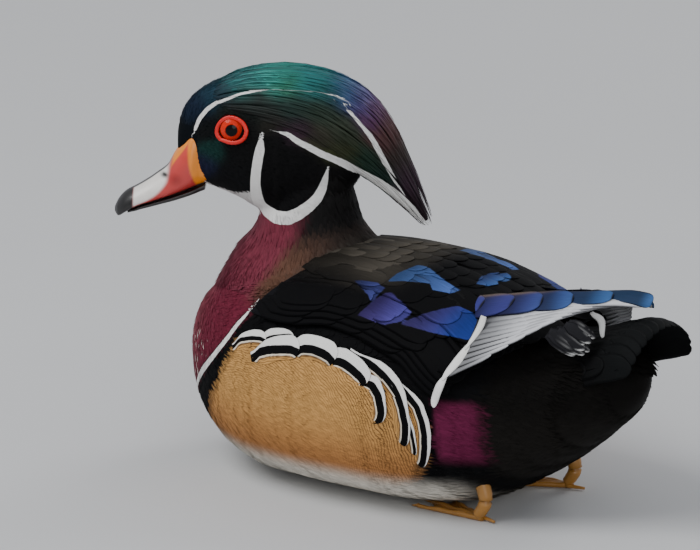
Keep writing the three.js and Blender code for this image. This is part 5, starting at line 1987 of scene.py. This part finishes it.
class DUCK_OT_wings(bpy.types.Operator):
    """Lays both folded wings, feather by feather"""
    bl_idname = "duck.wings"
    bl_label = "Wings"

    def execute(self, context):
        seed = context.scene.duck_coat.seed
        finish = plumage_material("Wing feathers", 0.8, 0.4, specular=0.08)
        flight = plumage_material("Flight feathers", 0.5, 0.5)
        surfaces = {"left": (on_wing, on_primaries), "right": (mirrored(on_wing), on_far_primaries)}
        for side, (wing, folded) in surfaces.items():
            rng = np.random.default_rng(seed + 40)
            lay("wing_feathers_" + side, wing_sets(wing, rng), finish, paint_wing, seed,
                "wing_plumage", "wing_" + side)
            shares = np.linspace(0.02, 0.96, 40), np.linspace(0.02, 0.97, 24)
            core = make_piece("wing_core_" + side, *slab(wing, *shares, -0.8, 1.6), finish)
            set_tint(core.data, linear((16, 16, 20)))
            settle(core, "wing_plumage")
            lay("primary_feathers_" + side, primary_sets(folded), flight, paint_primaries, seed,
                "flight_feathers", "primaries_" + side)
            lay("wing_edge_" + side, [edge_set(SIDES[side])], flight, paint_edge, seed,
                "flight_feathers")
        lay("mantle_feathers", [mantle_set(np.random.default_rng(seed + 3))], finish, paint_wing,
            seed, "wing_plumage")
        rng = np.random.default_rng(seed)
        lay("wing_plumes", [plume_set(PLUME_ROWS, rng, 13, 0.4, 5.5),
                            plume_set(FAR_PLUME_ROWS, rng, 1, 0.12, 3.3, 2.2)],
            flight, paint_plumes, seed, "flight_feathers")
        return {"FINISHED"}


class DUCK_OT_tail(bpy.types.Operator):
    """Fans the tail feathers and their coverts over the stern"""
    bl_idname = "duck.tail"
    bl_label = "Tail"

    def execute(self, context):
        seed = context.scene.duck_coat.seed
        finish = plumage_material("Tail feathers", 0.5, 0.4, specular=0.1)
        lay("tail_feathers", tail_sets(np.random.default_rng(seed)), finish, paint_tail, seed,
            "tail_plumage", "tail")
        return {"FINISHED"}


class DUCK_OT_bill(bpy.types.Operator):
    """Makes both halves of the bill"""
    bl_idname = "duck.bill"
    bl_label = "Bill"

    def execute(self, context):
        horn = bare_material("Bill horn", None, 1400, 0.25, 0.25, 0.3)
        upper = shell("bill_upper_horn", bill_upper_surface, eased(44, 87, 150), 128, horn)
        paint_bill(upper.data)
        settle(upper, "bill_horn", "bill_upper")
        under = bare_material("Lower bill", (22, 17, 16), 1400, 0.3, 0.3, 0.2)
        lower = shell("bill_lower_horn", bill_lower_surface, eased(46, 81, 50), 64, under)
        settle(lower, "lower_bill", "bill_lower")
        return {"FINISHED"}


class DUCK_OT_eyes(bpy.types.Operator):
    """Makes the eyes and the red rings of skin round them"""
    bl_idname = "duck.eyes"
    bl_label = "Eyes"

    def execute(self, context):
        look = context.scene.duck_eyes
        ball = eye_material(look)
        rim = bare_material("Eye ring skin", look.lid_colour, 1800, 0.3, 0.5, 0.08)
        for label, side in SIDES.items():
            settle(eye_piece("eyeball_" + label, side, ball), "eye_surface", "eye_" + label)
            settle(lid_piece("lid_ring_" + label, side, rim), "eye_ring", "eyelid_" + label)
        return {"FINISHED"}


class DUCK_OT_feet(bpy.types.Operator):
    """Makes the tucked legs and feet"""
    bl_idname = "duck.feet"
    bl_label = "Feet"

    def execute(self, context):
        skin = bare_material("Leg skin", (168, 118, 52), 1100, 0.35, 0.6, 0.1)
        for label, side in SIDES.items():
            for name, shell_of, part in (("shank_", shank_shell, "leg_"),
                                         ("webbed_foot_", foot_shell, "foot_")):
                piece = make_piece(name + label, *shell_of(side), skin)
                settle(piece, "leg_skin", part + label)
        return {"FINISHED"}


class DUCK_OT_stage(bpy.types.Operator):
    """Sets the floor, the lights, the room and the camera"""
    bl_idname = "duck.stage"
    bl_label = "Stage"

    def execute(self, context):
        look = context.scene.duck_stage
        corners = np.array([(-1, -1, 0), (1, -1, 0), (1, 1, 0), (-1, 1, 0)]) * FLOOR_HALF
        mesh = new_mesh("floor", corners, [(0, 1, 2, 3)])
        mesh.materials.append(floor_material())
        new_object("floor", mesh)
        area_light("Key light", (-0.5, -1.1, 1.7), 1.3, look.key_power)
        area_light("Fill light", (1.6, -1.4, 0.7), 1.2, look.fill_power)
        area_light("Back light", (0.3, 1.6, 1.3), 1.0, look.fill_power)
        world = bpy.data.worlds.new("Pale room")
        world.use_nodes = True
        sky = world.node_tree.nodes["Background"]
        sky.inputs["Color"].default_value = (0.93, 0.95, 1, 1)
        sky.inputs["Strength"].default_value = look.room_light
        context.scene.world = world
        set_camera()
        return {"FINISHED"}


OPERATORS = (DUCK_OT_stage, DUCK_OT_skin, DUCK_OT_head_coat, DUCK_OT_body_coat, DUCK_OT_crest,
    DUCK_OT_wings, DUCK_OT_tail, DUCK_OT_bill, DUCK_OT_eyes, DUCK_OT_feet)


class DUCK_PT_build(bpy.types.Panel):
    """Lists the duck's pieces and their sizes"""
    bl_idname = "DUCK_PT_build"
    bl_label = "Wood duck"
    bl_space_type = "VIEW_3D"
    bl_region_type = "UI"
    bl_category = "Wood duck"

    def draw(self, context):
        for operator in OPERATORS:
            self.layout.operator(operator.bl_idname)
        for label in GROUPS:
            group = getattr(context.scene, label)
            box = self.layout.box()
            for key in group.__annotations__:
                box.prop(group, key)


CLASSES = (*GROUPS.values(), *OPERATORS, DUCK_PT_build)


def register():
    for item in CLASSES:
        bpy.utils.register_class(item)
    for label, group in GROUPS.items():
        setattr(bpy.types.Scene, label, PointerProperty(type=group))


def unregister():
    for label in GROUPS:
        delattr(bpy.types.Scene, label)
    for item in reversed(CLASSES):
        bpy.utils.unregister_class(item)


def main():
    register()
    bpy.ops.duck.stage()
    bpy.ops.duck.skin()
    bpy.ops.duck.head_coat()
    bpy.ops.duck.body_coat()
    bpy.ops.duck.crest()
    bpy.ops.duck.wings()
    bpy.ops.duck.tail()
    bpy.ops.duck.bill()
    bpy.ops.duck.eyes()
    bpy.ops.duck.feet()


if __name__ == "__main__":
    main()
